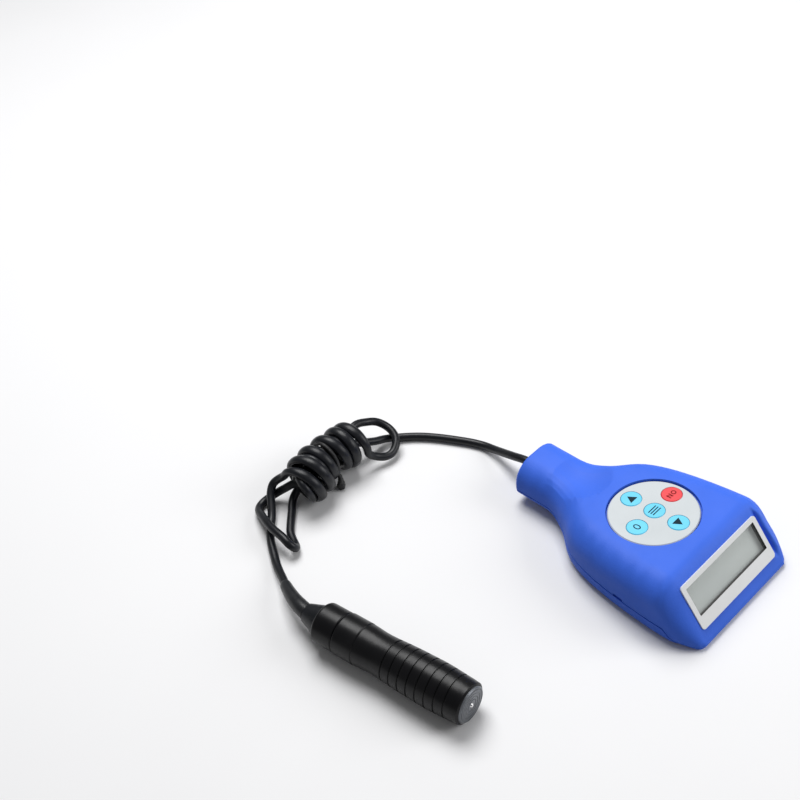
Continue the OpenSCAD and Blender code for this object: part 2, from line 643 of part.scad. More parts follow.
// Outline of the barrel, collar and cap: shares of the length and of the greatest radius
barrel_shares = [[0, 0.9], [0.012, 0.925], [0.09, 0.958], [0.2, 0.998], [0.3, 0.985], [0.4, 0.962],
    [0.5, 0.916], [0.56, 0.889], [0.615, 0.893], [0.69, 0.932]];
collar_from = 0.69 * probe_l;
cap_from = 0.832 * probe_l;
collar_r = 0.944 * probe_r;
cap_r = 0.916 * probe_r;
function barrel_r(z) = probe_r * curve_at(barrel_shares, z / probe_l);
groove_from = 6;
barrel_rows = 17;
mouth_r = face_r + 0.1;
head_l = 11;
stem_rim_t = 0.8;
mouth_spare = 0.9;
mouth_l = head_l - face_proud + stem_rim_t + head_travel + mouth_spare;
chamber_r = 6.5;
bush_seat = 24;
bush_bore_r = 6.9;
rim = 0.5;
module barrel_outline() polygon(concat([[0, 0], [barrel_r(0) - rim, 0]],
    [for (i = [0:barrel_rows]) let (z = rim + (collar_from - rim) * i / barrel_rows) [barrel_r(z), z]],
    [[0, collar_from]]));
module probe_barrel() color(black) on_probe() rotate_extrude($fn = 64) difference() {
    barrel_outline();
    translate([0, -over]) square([mouth_r, mouth_l + over]);
    square([chamber_r, bush_seat + over]);
    translate([0, bush_seat]) square([bush_bore_r, collar_from]);
    for (i = [0:groove_count - 1]) let (z = groove_from + i * groove_pitch)
        translate([barrel_r(z) - groove_depth, z - groove_w / 2]) square([over, groove_w]);
}

// The collar screws into the barrel and presses the bush on its seat; the cap screws into it
bush_l = 4;
tube_t = 1.2;
joint_gap = 0.25;
joint_step = 0.35;
cap_spigot_l = 5;
module probe_collar() color(black) on_probe() rotate_extrude($fn = 64) polygon([
    [bush_bore_r - tube_t, bush_seat + bush_l + fit], [bush_bore_r - fit, bush_seat + bush_l + fit],
    [bush_bore_r - fit, collar_from], [collar_r - joint_step, collar_from],
    [collar_r - joint_step, collar_from + joint_gap], [collar_r, collar_from + joint_gap + joint_step],
    [collar_r, cap_from - joint_step], [collar_r - joint_step, cap_from],
    [bush_bore_r - tube_t, cap_from]]);
cap_bore_r = 3;
cap_edge_shares = [[1, 0], [1, 0.52], [0.985, 0.66], [0.94, 0.8], [0.87, 0.92], [0.76, 1]];
module probe_rear_cap() color(black) on_probe() rotate_extrude($fn = 64) polygon(concat(
    [[cap_bore_r, cap_from - cap_spigot_l], [bush_bore_r - tube_t - fit, cap_from - cap_spigot_l],
    [bush_bore_r - tube_t - fit, cap_from + fit], [cap_r * 0.93, cap_from + fit],
    [cap_r * 0.93, cap_from + joint_gap], [cap_r * 0.985, cap_from + joint_gap + joint_step]],
    [for (q = cap_edge_shares) [cap_r * q[0], mix(cap_from + 2 * joint_step + joint_gap, probe_l, q[1])]],
    [[cap_bore_r, probe_l]]));

// Rubber boot behind the cap, in the line of the probe
boot_l = 6.5;
boot_r0 = 5.4;
boot_r1 = 3.6;
boot_plug_l = 4;
core_from = 36;
module probe_boot() color([0.16, 0.16, 0.17]) on_probe() rotate_extrude() polygon([
    [cord_r + fit, probe_l - boot_plug_l], [cap_bore_r - fit, probe_l - boot_plug_l],
    [cap_bore_r - fit, probe_l + fit],
    [boot_r0, probe_l + fit], [boot_r0 * 0.96, probe_l + boot_l * 0.3], [boot_r1, probe_l + boot_l],
    [cord_r + fit, probe_l + boot_l]]);

// The lead inside the probe, from the boot forward
module probe_lead() color(black) on_probe() translate([0, 0, core_from])
    cylinder(r = cord_r, h = probe_l + boot_l - core_from);

// Sprung measuring head: face cup, centre pin, coil and the stem that guides it
face_t = 1.6;
cup_r = 6;
pin_l = 7.6;
pin_out = 0.35;
bobbin_l = 6.6;
bobbin_r = 5.7;
bobbin_core_r = 2.2;
bobbin_flange = 0.9;
ring_marks = 4;
mark_w = 0.35;
mark_depth = 0.12;
module measuring_head() color([0.55, 0.56, 0.57]) on_probe() translate([0, 0, -face_proud])
    rotate_extrude($fn = 64) difference() {
        polygon([[pin_r + fit, 0], [face_r - rim, 0], [face_r, rim], [face_r, head_l], [cup_r, head_l],
            [cup_r, face_t], [pin_r + fit, face_t]]);
        for (i = [1:ring_marks]) translate([mix(pin_r, face_r, i / (ring_marks + 1)), -over])
            square([mark_w, over + mark_depth]);
    }
module measuring_pin() color([0.85, 0.86, 0.88]) on_probe()
    translate([0, 0, -face_proud - pin_out]) rotate_extrude()
        polygon([[0, 0], [pin_r * 0.6, 0], [pin_r, pin_r * 0.4], [pin_r, pin_l], [0, pin_l]]);
module coil_bobbin() color([0.2, 0.2, 0.22]) on_probe()
    translate([0, 0, face_t - face_proud + fit]) rotate_extrude() polygon([
        [pin_r + fit, 0], [bobbin_r, 0], [bobbin_r, bobbin_flange], [bobbin_core_r, bobbin_flange],
        [bobbin_core_r, bobbin_l - bobbin_flange], [bobbin_r, bobbin_l - bobbin_flange],
        [bobbin_r, bobbin_l], [pin_r + fit, bobbin_l]]);
module coil_winding() color([0.72, 0.4, 0.2]) on_probe()
    translate([0, 0, face_t - face_proud + bobbin_flange + 2 * fit]) difference() {
        cylinder(r = bobbin_r - bobbin_flange / 2, h = bobbin_l - 2 * bobbin_flange - 2 * fit);
        translate([0, 0, -over]) cylinder(r = bobbin_core_r + fit, h = bobbin_l + 2 * over);
    }
stem_shaft_r = 2.2;
stem_bore_r = 0.9;
stem_end = 32;
stem_disc_t = 2.4;
module head_stem() color([0.3, 0.3, 0.32]) on_probe() rotate_extrude() polygon([
    [stem_bore_r, head_l - face_proud - stem_disc_t], [cup_r - fit, head_l - face_proud - stem_disc_t],
    [cup_r - fit, head_l - face_proud + fit], [face_r - rim, head_l - face_proud + fit],
    [face_r - rim, head_l - face_proud + stem_rim_t], [stem_shaft_r, head_l - face_proud + stem_rim_t],
    [stem_shaft_r, stem_end], [stem_bore_r, stem_end]]);
module guide_bush() color([0.7, 0.58, 0.3]) on_probe() translate([0, 0, bush_seat + fit]) difference() {
    cylinder(r = bush_bore_r - fit, h = bush_l - fit);
    translate([0, 0, -over]) cylinder(r = stem_shaft_r + fit, h = bush_l + 2 * over);
}
coil_wire_r = 0.4;
coil_r = 4.4;
coil_turns = 6;
coil_from = head_l - face_proud + stem_rim_t + coil_wire_r + fit;
coil_to = bush_seat - coil_wire_r - fit;
module head_spring() color(steel) on_probe() translate([0, 0, coil_from])
    tube(coil_path(coil_r, coil_r, coil_to - coil_from, coil_turns, spring_steps), coil_wire_r, wire_sides);
ring_t = 0.7;
ring_r = 3.7;
module retaining_ring() color(steel) on_probe()
    translate([0, 0, bush_seat + bush_l + 2 * fit]) difference() {
    cylinder(r = ring_r, h = ring_t);
    translate([0, 0, -over]) cylinder(r = stem_shaft_r, h = ring_t + 2 * over);
}

// The lead's route, in hand-chosen points. Out of the neck, down and along to the hank
gauge_run = [[0, 50, 11.2], [-0.2, 56, 10.8], [0.2, 62.4, 8.6], [1.2, 69, 5.8], [2.1, 75.6, 3.2],
    [2.1, 81.4, 1.9], [0.2, 87, 1.8], [-2.8, 93.2, 1.8], [-6.2, 99.6, 1.8], [-10, 105.6, 1.8],
    [-14.2, 110.6, 1.9], [-18.6, 114.4, 2.3], [-23.4, 116.4, 3.9], [-28, 117, 5.7], [-35, 117, 7.9]];
right_loop = [[-35.4, 120.6, 12.8], [-30, 123.4, 12.3], [-25.6, 124, 11.2], [-22, 122.2, 9.8],
    [-20, 118.6, 8.2], [-19.9, 114.6, 7], [-21.2, 111.2, 5.8], [-23.8, 108.9, 4.6], [-27.2, 107.8, 3.6],
    [-30.8, 108.4, 3.8], [-35.4, 111.6, 6]];
left_loop = [[-67.4, 123.2, 6.8], [-70.2, 125.4, 4.4], [-73.8, 128.4, 2.4], [-78.2, 130.8, 1.8],
    [-82.6, 130.6, 1.8], [-86, 127.8, 2.6], [-88.6, 122.4, 4.6], [-90.4, 116.8, 6], [-91.6, 111, 6.9],
    [-92, 106, 7.2], [-92.4, 102, 7.1], [-92.7, 99.4, 6.5], [-92, 97.6, 4.9], [-90.6, 97.6, 3.1],
    [-89.2, 99.6, 2.1], [-87.5, 103, 1.8], [-85.2, 107.6, 1.8], [-82.2, 112, 1.8], [-78.6, 115.8, 1.9],
    [-75.2, 118.4, 3], [-72.2, 119.6, 5.2], [-67.4, 119, 8.6]];
probe_run = [[-67.4, 119.6, 15.4], [-71, 122.2, 15], [-73.8, 126, 13.4], [-75.6, 128.8, 10.8],
    [-77.6, 129, 7.8], [-80.2, 126.6, 5], [-83.4, 123.2, 2.8], [-87, 119.8, 1.8], [-90.4, 116.6, 1.8],
    [-94.2, 111.6, 1.8], [-97.6, 106.2, 1.8], [-100.8, 100.8, 2], [-103.4, 95.6, 3], [-105.4, 91.2, 4.2]];
sleeve_run = [[-104.9, 92.3, 3.9], [-106.4, 89.2, 4.7], [-108.2, 85.2, 5.7], [-110, 80.6, 6.9],
    [-111.5, 76, 8], [-112.4, 71.8, 8.8], [-112.8, 68, 9]];
cord_sides = 8;
module cord_gauge_run() color(black) tube(gauge_run, cord_r, cord_sides);
module cord_right_loop() color(black) tube(right_loop, cord_r, cord_sides);
module cord_left_loop() color(black) tube(left_loop, cord_r, cord_sides);
module cord_probe_run() color(black) tube(probe_run, cord_r, cord_sides);
sleeve_t = 0.5;
module cord_sleeve() color([0.13, 0.13, 0.14]) loft([for (i = [0:len(sleeve_run) - 1])
    tube_ring(sleeve_run, i, mix(cord_r + sleeve_t, sleeve_d / 2, clamp(i / 2)), cord_sides)]);

// The hank: one closed form round all its turns, with a waist for the tie
hank_from = [-71, 118.6];
hank_edge = 3.4;
tie_at = 18;
tie_w = 3.4;
tie_depth = 1.9;
tie_t = 0.9;
module hank_outline() difference() {
    union() {
        square([hank_r, hank_l - 2 * hank_edge]);
        translate([0, -hank_edge]) square([hank_r - hank_edge, hank_l]);
        translate([hank_r - hank_edge, 0]) circle(r = hank_edge);
        translate([hank_r - hank_edge, hank_l - 2 * hank_edge]) circle(r = hank_edge);
    }
    translate([hank_r - tie_depth, tie_at - hank_edge - tie_w / 2]) square([hank_r, tie_w]);
    translate([-2 * hank_r, -hank_edge - over]) square([2 * hank_r, hank_l + 2 * over]);
}
module along_hank() translate([hank_from[0], hank_from[1], hank_r]) rotate([0, 90, 0]) children();
module cord_hank() color(black) along_hank() translate([0, 0, hank_edge]) rotate_extrude() hank_outline();
module cord_tie() color([0.05, 0.05, 0.05]) {
    along_hank() translate([0, 0, tie_at - tie_w / 2 + fit]) difference() {
        cylinder(r = hank_r - tie_depth + fit + tie_t, h = tie_w - 2 * fit);
        translate([0, 0, -over]) cylinder(r = hank_r - tie_depth + fit, h = tie_w + 2 * over);
    }
    translate([hank_from[0] + tie_at, hank_from[1] - (hank_r - tie_depth) * cos(tail_from),
        hank_r - (hank_r - tie_depth) * sin(tail_from)]) rotate([90 + tail_drop, 0, 0])
            cylinder(r = tail_r, h = tail_l);
}
tail_r = 1.2;
tail_l = 4.6;
tail_from = 35;
tail_drop = 55;

top_housing();
bottom_housing();
battery_cover();
display_bezel();
display_window();
lcd_panel();
display_ribbon();
keypad_plate();
key_power();
key_zero();
key_up();
key_down();
key_menu();
circuit_board();
key_switches();
processor();
lead_connector();
battery_cells();
contact_springs();
contact_plates();
case_screws();
board_screws();
cord_grommet();
cord_clamp();
clamp_screws();
inner_lead();
probe_barrel();
probe_collar();
probe_rear_cap();
probe_boot();
probe_lead();
measuring_head();
measuring_pin();
coil_bobbin();
coil_winding();
head_stem();
guide_bush();
head_spring();
retaining_ring();
cord_sleeve();
cord_gauge_run();
cord_right_loop();
cord_hank();
cord_left_loop();
cord_probe_run();
cord_tie();
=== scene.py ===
import math

import bmesh
import bpy
import numpy as np
from mathutils import Matrix, Vector


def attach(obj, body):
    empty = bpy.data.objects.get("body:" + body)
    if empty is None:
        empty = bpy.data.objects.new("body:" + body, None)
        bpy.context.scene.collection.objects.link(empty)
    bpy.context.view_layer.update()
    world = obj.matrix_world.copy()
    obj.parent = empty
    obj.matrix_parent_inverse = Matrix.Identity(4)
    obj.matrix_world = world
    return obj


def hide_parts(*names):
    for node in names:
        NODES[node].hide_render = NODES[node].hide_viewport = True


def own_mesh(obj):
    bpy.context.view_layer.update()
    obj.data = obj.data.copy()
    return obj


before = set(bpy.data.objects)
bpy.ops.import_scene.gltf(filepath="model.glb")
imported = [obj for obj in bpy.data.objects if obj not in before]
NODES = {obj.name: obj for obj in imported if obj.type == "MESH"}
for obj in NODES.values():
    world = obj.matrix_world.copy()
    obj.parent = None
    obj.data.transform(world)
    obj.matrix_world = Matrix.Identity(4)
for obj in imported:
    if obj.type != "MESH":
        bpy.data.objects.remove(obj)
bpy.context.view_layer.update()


# ---- The viewpoint --------------------------------------------------------------------------
# A camera half a metre away looks down over the display end from its left, rolled a little. Its
# place and lens were fitted to the case's outline and to the probe in the photograph.
MM = 0.001
PICTURE = 800.0  # the photograph's width, in pixels
FOCAL_LENGTH = 1322.84  # in the same pixels
SENSOR = 36.0
LOOKED_AT = Vector((0, -6 * MM, 22 * MM))
STAND_AZIMUTH, STAND_HEIGHT, STAND_FAR = math.radians(-55.48), math.radians(46.88), 515.43 * MM
PAN, TILT, ROLL = math.radians(14.61), math.radians(-5.15), math.radians(-7.23)


def sight(azimuth, height):
    """The direction from the object to a viewer at these angles."""
    flat = math.cos(height)
    return Vector((math.sin(azimuth) * flat, -math.cos(azimuth) * flat, math.sin(height)))


stand = LOOKED_AT + sight(STAND_AZIMUTH, STAND_HEIGHT) * STAND_FAR
backward = sight(STAND_AZIMUTH + PAN, STAND_HEIGHT + TILT)
level_right = (-backward).cross(Vector((0, 0, 1))).normalized()
level_up = level_right.cross(-backward)
rolled_right = level_right * math.cos(ROLL) + level_up * math.sin(ROLL)
rolled_up = level_up * math.cos(ROLL) - level_right * math.sin(ROLL)
bpy.ops.object.select_all(action="DESELECT")
bpy.ops.object.camera_add()
camera = bpy.context.object
camera.name = camera.data.name = "camera"
camera.data.sensor_width = SENSOR
camera.data.lens = SENSOR * FOCAL_LENGTH / PICTURE
camera.data.clip_start = 0.01
camera.data.clip_end = 20.0
facing = Matrix((rolled_right, rolled_up, backward)).transposed()
camera.matrix_world = Matrix.Translation(stand) @ facing.to_4x4()
bpy.context.scene.camera = camera


# ---- The lead -------------------------------------------------------------------------------
# One limp cable of fine copper strands in a black rubber jacket, extruded round. It leaves the
# case's narrow end, is folded and wound by hand into a hank, and goes on to the probe.
BODY = "gauge_and_probe"
LEAD_R = 1.75
WRAP_HALF = 1.6  # half the thickness of a wrap, where it is pressed flat
PRESSED_WIDER, PRESSED_THINNER = 0.36, 0.1
LEAD_STEP = 0.8  # between two rings of the jacket
LEAD_SIDES = 20

# The route, in millimetres: along the floor to the hank, straight through it, out in the left
# loop, back, out in the right loop, and along the floor to the probe
gauge_run = [
    [0, 50, 11.2], [-0.2, 56, 10.8], [0.2, 62.4, 8.6], [1.2, 69, 5.8], [2.1, 75.6, 3.2],
    [2.1, 81.4, 1.9], [0.2, 87, 1.8], [-2.8, 93.2, 1.8], [-6.2, 99.6, 1.8], [-10, 105.6, 1.8],
    [-14.2, 110.6, 1.9], [-18.6, 114.4, 2.3], [-23.4, 116.4, 3.9], [-28, 117, 5.7],
    [-33.6, 118.2, 8.4],
]
first_strand = [
    [-39, 119.9, 10.4], [-46, 120.8, 11.6], [-53, 121, 11.8], [-60, 120.2, 11.6],
    [-64.4, 120.4, 11.3],
]
left_loop = [
    [-67.6, 120.6, 10.2], [-70.5, 122.9, 9.4], [-72.5, 125.2, 7.3], [-74.6, 127.9, 4.9],
    [-77.6, 130, 3], [-80.8, 131, 1.9], [-84.2, 130.2, 1.8], [-86.6, 127.4, 2.8],
    [-88.6, 122.4, 4.6], [-90.4, 117, 6], [-91.6, 111.9, 6.9], [-92, 107.8, 7.2],
    [-92.3, 104.5, 7.1], [-92.6, 102, 6.5], [-91.9, 100.2, 4.9], [-90.5, 100.2, 3.1],
    [-89.1, 102.2, 2.1], [-87.7, 105.4, 1.8], [-85.8, 109, 1.8], [-82, 113.1, 1.8],
    [-77.6, 117.3, 1.9], [-73.8, 121, 2.5], [-70.8, 122.6, 3.4], [-68.2, 123.2, 4.6],
]
to_the_right = [[-43.4, 117.6, 7.6], [-40.8, 120.2, 6.6], [-38.6, 123.2, 8.6], [-37, 124.2, 12]]
right_loop = [
    [-34.2, 124.2, 13.6], [-30.4, 124.6, 13.2], [-26, 124, 11.4], [-22, 122.2, 9.8],
    [-20, 118.6, 8.2], [-19.9, 114.6, 7], [-21.2, 111.2, 5.8], [-23.8, 108.9, 4.6],
    [-27.2, 107.8, 3.6], [-30.8, 108.4, 3.8], [-34.6, 110.6, 5.6],
]
probe_run = [
    [-73.4, 128.6, 10.8], [-75.3, 130, 8.9], [-78.2, 128.7, 6.9], [-81.8, 124.8, 4.4],
    [-85.2, 121.2, 2.5], [-88.2, 118.6, 1.8], [-91.2, 115.6, 1.8], [-94.4, 111.4, 1.8],
    [-97.6, 106.2, 1.8], [-100.8, 100.8, 2], [-103.4, 95.6, 3], [-105.4, 91.2, 4.2],
]
into_the_probe = [
    [-106.4, 89.2, 4.7], [-108.2, 85.2, 5.7], [-110, 80.6, 6.9],
    [-111.5, 76, 8], [-112.4, 71.8, 8.8], [-112.8, 68, 9],
]
# Each wrap's turn, from the near side over the top, and where it lies along the hank
wrap_turns = [-12, 140, 320, 500, 680, 860, 1040, 1220, 1400, 1580, 1760, 1940, 1975]
wrap_x = [-37.2, -39.4, -42.8, -43.7, -46.3, -51.1, -54.9, -59, -59.6, -66.1, -65.1, -71.6, -71.9]
# The second strand's first turn, at the hank's left end: its turn, its place and its radius
end_turns = [1690, 1710, 1740, 1770, 1800, 1830, 1860, 1890, 1920, 1960, 2005]
end_x = [-62.4, -64.5, -67, -69.3, -70.7, -71.6, -71.6, -70, -68, -67, -67.3]
end_r = [6.4, 5.4, 5.6, 6.6, 7, 6.9, 6.3, 5.2, 5, 6, 6.4]
# Each wrap's middle in x, y and z and its outer radius: the bundle is squeezed at the tie
wrap_mid = [
    [-38.1, 120.1, 10.5, 10.4], [-43.2, 120.6, 11.5, 9.9], [-48.7, 121.3, 11.9, 9.6],
    [-56.9, 121, 12, 9.7], [-62.9, 119, 11.4, 11.3], [-68.4, 118, 10.2, 10.05],
]
# How deep the second strand lies under the wraps, along the hank
groove_x = [-60, -56.5, -53.5, -51.5, -49, -46, -44]
groove_deep = [2, 2.2, 3.3, 3.4, 2.6, 2.2, 2.6]


def round_the_hank(turn_at, x, y, z, radius):
    """The point at this turn, in degrees, on a ring about the hank's middle."""
    angle = math.radians(turn_at)
    return [x, y - radius * math.cos(angle), z + radius * math.sin(angle)]


def second_strand():
    """The strand under the wraps, from the left end: one turn beside the last wrap, crossing
    under it, and then turns that lie in the grooves between the wraps."""
    mids = np.array(wrap_mid[::-1])
    points = []
    for turn_at in np.arange(2005, 700, -19.4):
        if turn_at > end_turns[0]:
            x = np.interp(turn_at, end_turns, end_x)
        else:
            x = sum(np.interp(turn_at - back, wrap_turns, wrap_x) for back in (0, 360)) / 2
        y, z, outer = (np.interp(x, mids[:, 0], mids[:, i]) for i in (1, 2, 3))
        if turn_at > end_turns[0]:
            radius = np.interp(turn_at, end_turns, end_r)
        else:
            radius = outer - WRAP_HALF - np.interp(x, groove_x, groove_deep)
        points.append(round_the_hank(turn_at, x, y, z, radius))
    return points


def six_wraps():
    """The wraps that show, from the right end to the left."""
    centres = [50 + 360 * i for i in range(len(wrap_mid))]
    mids = np.array(wrap_mid)
    points = []
    for turn_at in np.arange(wrap_turns[0], wrap_turns[-1] + 1, 19.5):
        y, z, outer = (np.interp(turn_at, centres, mids[:, i]) for i in (1, 2, 3))
        x = np.interp(turn_at, wrap_turns, wrap_x)
        points.append(round_the_hank(turn_at, x, y, z, outer - WRAP_HALF))
    return points


def even(points, step):
    """The same line with its points a step apart."""
    points = np.asarray(points, float)
    far = np.concatenate([[0], np.cumsum(np.linalg.norm(np.diff(points, axis=0), axis=1))])
    count = max(2, int(round(far[-1] / step)) + 1)
    at = np.linspace(0, far[-1], count)
    return np.stack([np.interp(at, far, points[:, i]) for i in range(3)], axis=1)


def laid_line(points, step, rounds=0):
    """A smooth curve through the points, cut into even steps and then relaxed a little."""
    p = np.asarray(points, float)
    p = np.vstack([2 * p[0] - p[1], p, 2 * p[-1] - p[-2]])
    line = []
    for i in range(1, len(p) - 2):
        knots = [0.0]
        for j in range(3):
            span = max(np.linalg.norm(p[i + j] - p[i + j - 1]), 1e-6)
            knots.append(knots[-1] + span ** 0.5)
        t0, t1, t2, t3 = knots
        for t in np.linspace(t1, t2, 24, endpoint=False):
            a = (t1 - t) / (t1 - t0) * p[i - 1] + (t - t0) / (t1 - t0) * p[i]
            b = (t2 - t) / (t2 - t1) * p[i] + (t - t1) / (t2 - t1) * p[i + 1]
            c = (t3 - t) / (t3 - t2) * p[i + 1] + (t - t2) / (t3 - t2) * p[i + 2]
            d = (t2 - t) / (t2 - t0) * a + (t - t0) / (t2 - t0) * b
            e = (t3 - t) / (t3 - t1) * b + (t - t1) / (t3 - t1) * c
            line.append((t2 - t) / (t2 - t1) * d + (t - t1) / (t2 - t1) * e)
    line.append(p[-2])
    line = even(line, step)
    for _ in range(rounds):
        line[1:-1] += 0.5 * (0.5 * (line[:-2] + line[2:]) - line[1:-1])
    return line


def take_up(piece):
    """Leaves this piece alone selected, for the operators that follow."""
    bpy.ops.object.select_all(action="DESELECT")
    piece.select_set(True)
    bpy.context.view_layer.objects.active = piece


def new_piece(name, mesh):
    """A piece at the origin that holds the mesh, taken up to be worked on."""
    piece = bpy.data.objects.new(name, mesh)
    bpy.context.scene.collection.objects.link(piece)
    take_up(piece)
    return piece


def extruded(name, line, radius, sides, pressed=None):
    """A rubber tube along a line in millimetres. radius is one number or one for each point, and
    pressed says for each point how far it is flattened against the hank's middle, from 0 to 1."""
    radii = np.broadcast_to(radius, len(line))
    ahead = np.gradient(line, axis=0)
    ahead /= np.linalg.norm(ahead, axis=1)[:, None]
    side = np.cross(ahead[0], [0.0, 0.0, 1.0])
    corners, faces = [], []
    for i, at in enumerate(line):
        side = side - ahead[i] * (side @ ahead[i])
        side /= np.linalg.norm(side)
        other = np.cross(ahead[i], side)
        for k in range(sides):
            a = 2 * math.pi * k / sides
            reach = radii[i] * (math.cos(a) * side + math.sin(a) * other)
            if pressed is not None:
                reach[0] *= 1 + PRESSED_WIDER * pressed[i]
                reach[1:] *= 1 - PRESSED_THINNER * pressed[i]
            corners.append(Vector(at + reach) * MM)
    for low in range(0, len(corners) - sides, sides):
        for k in range(sides):
            n = (k + 1) % sides
            faces.append((low + k, low + n, low + sides + n, low + sides + k))
    faces.append(tuple(range(sides))[::-1])
    faces.append(tuple(range(len(corners) - sides, len(corners))))
    mesh = bpy.data.meshes.new(name)
    mesh.from_pydata(corners, [], faces)
    piece = new_piece(name, mesh)
    bpy.ops.object.shade_smooth_by_angle(angle=math.radians(50))
    return piece


def bare_material(name):
    """A material with one plain shader, and the place on the piece that patterns are read at."""
    material = bpy.data.materials.new(name)
    material.use_nodes = True
    tree = material.node_tree
    tree.nodes.clear()
    out = tree.nodes.new("ShaderNodeOutputMaterial")
    shader = tree.nodes.new("ShaderNodeBsdfPrincipled")
    where = tree.nodes.new("ShaderNodeTexCoord")
    tree.links.new(shader.outputs[0], out.inputs[0])
    return material, tree, shader, where


def unevenness(tree, where, scale, detail, rough=0.5):
    """A soft random pattern in the piece's own coordinates, in metres."""
    pattern = tree.nodes.new("ShaderNodeTexNoise")
    pattern.inputs["Scale"].default_value = scale
    pattern.inputs["Detail"].default_value = detail
    pattern.inputs["Roughness"].default_value = rough
    tree.links.new(where.outputs["Object"], pattern.inputs["Vector"])
    return pattern.outputs["Fac"]


def colour_between(tree, pattern, dark, light):
    """Lets a pattern drift between two shades of one colour."""
    ramp = tree.nodes.new("ShaderNodeValToRGB")
    for stop, place, shade in zip(ramp.color_ramp.elements, (0.3, 0.7), (dark, light)):
        stop.position = place
        stop.color = (*shade, 1)
    tree.links.new(pattern, ramp.inputs[0])
    return ramp.outputs[0]


def gloss_between(tree, pattern, low, high):
    """Lets a pattern drift between two roughnesses."""
    span = tree.nodes.new("ShaderNodeMapRange")
    span.inputs["From Min"].default_value = 0.3
    span.inputs["From Max"].default_value = 0.7
    span.inputs["To Min"].default_value = low
    span.inputs["To Max"].default_value = high
    tree.links.new(pattern, span.inputs["Value"])
    return span.outputs[0]


def finish(name, dark, light, rough, cloud=60, grain=0, grain_depth=0.0, grain_strength=0.3,
           metal=0.0, specular=0.5):
    """A finish whose colour and gloss drift a little from place to place, over a fine grain.
    cloud and grain are how many such patches or grains there are to the metre."""
    material, tree, shader, where = bare_material(name)
    drift = unevenness(tree, where, cloud, 4, 0.55)
    tree.links.new(colour_between(tree, drift, dark, light), shader.inputs["Base Color"])
    wear = unevenness(tree, where, cloud * 3.1, 3, 0.6)
    tree.links.new(gloss_between(tree, wear, *rough), shader.inputs["Roughness"])
    shader.inputs["Metallic"].default_value = metal
    shader.inputs["Specular IOR Level"].default_value = specular
    if grain:
        bump = tree.nodes.new("ShaderNodeBump")
        bump.inputs["Strength"].default_value = grain_strength
        bump.inputs["Distance"].default_value = grain_depth
        tree.links.new(unevenness(tree, where, grain, 2, 0.6), bump.inputs["Height"])
        tree.links.new(bump.outputs[0], shader.inputs["Normal"])
    return material


def paint(piece, material):
    piece.data.materials.clear()
    piece.data.materials.append(material)


wraps = six_wraps()
route = gauge_run + first_strand + left_loop + second_strand() + to_the_right + right_loop
route += wraps + probe_run + into_the_probe
lead_line = laid_line(route, LEAD_STEP, rounds=2)
lead_steps = np.linalg.norm(np.diff(lead_line, axis=0), axis=1)
lead_far = np.concatenate([[0], np.cumsum(lead_steps)])
wraps_from, wraps_to = (
    lead_far[np.argmin(np.linalg.norm(lead_line - end, axis=1))] for end in (wraps[1], wraps[-2]))
pressed = np.interp(
    lead_far, [wraps_from, wraps_from + 9, wraps_to - 9, wraps_to], [0, 1, 1, 0])
cord_rubber = finish(
    "cord_rubber", dark=(0.004, 0.005, 0.007), light=(0.009, 0.010, 0.014), rough=(0.3, 0.4),
    cloud=160, grain=2600, grain_depth=0.00008, grain_strength=0.5, specular=0.33)
lead = extruded("probe_cord", lead_line, LEAD_R, LEAD_SIDES, pressed)
paint(lead, cord_rubber)
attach(lead, BODY)
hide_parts("cord_gauge_run", "cord_right_loop", "cord_hank", "cord_left_loop",
            "cord_probe_run")


# ---- The sleeve on the lead -----------------------------------------------------------------
# A soft black rubber tube, moulded thicker towards the probe. It is pushed over the lead and
# glued into the probe's boot, so that the lead doesn't kink there.
sleeve_points = [[-106.8, 88.3, 4.95]] + into_the_probe[1:]
sleeve_line = laid_line(sleeve_points, 0.6)
sleeve_share = np.linspace(0, 1, len(sleeve_line))
sleeve_r = np.interp(
    sleeve_share, [0, 0.03, 0.1, 0.4, 0.75, 1], [1.95, 2.2, 2.35, 2.75, 3.15, 3.25])
sleeve_rubber = finish(
    "sleeve_rubber", dark=(0.008, 0.009, 0.011), light=(0.013, 0.014, 0.017), rough=(0.32, 0.44),
    cloud=140, grain=2600, grain_depth=0.00006, specular=0.4)
sleeve = extruded("cord_sleeve_skin", sleeve_line, sleeve_r, 28)
paint(sleeve, sleeve_rubber)
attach(sleeve, BODY)
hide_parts("cord_sleeve")


# ---- The tie round the hank -----------------------------------------------------------------
# A plastic-covered wire, bent by hand round the waist of the hank between the third and fourth
# wraps. Its two ends are twisted together and stand out as a short thick stub on the near side.
TIE_X, TIE_Y, TIE_Z, TIE_R = -52.6, 121.1, 11.9, 7.5
TIE_STEP = 0.4
tie_round = [[TIE_X, TIE_Y - TIE_R * math.cos(a), TIE_Z + TIE_R * math.sin(a)]
             for a in np.linspace(-0.7, 2 * math.pi - 0.8, 44)]
twisted_ends = [[-54.8, 111.6, 1.8], [-54.2, 112.0, 1.85], [-53.5, 112.5, 2.5],
                [-52.8, 113.2, 3.6], [-52.3, 114.1, 5.2]]
tie_line = laid_line(twisted_ends + tie_round, TIE_STEP, rounds=2)
tie_far = np.arange(len(tie_line)) * TIE_STEP
tie_r = np.interp(tie_far, [0, 0.4, 1.6, 3.4, 5], [1.5, 1.85, 1.9, 1.25, 0.95])
tie_r *= 1 + 0.05 * np.sin(tie_far * 5.2) * np.interp(tie_far, [3, 5], [1, 0])
tie_black = finish(
    "tie_black", dark=(0.005, 0.005, 0.006), light=(0.012, 0.012, 0.013), rough=(0.4, 0.55),
    cloud=260, grain=1400, grain_depth=0.0003, grain_strength=0.8)
tie = extruded("cord_tie_skin", tie_line, tie_r, 14)
paint(tie, tie_black)
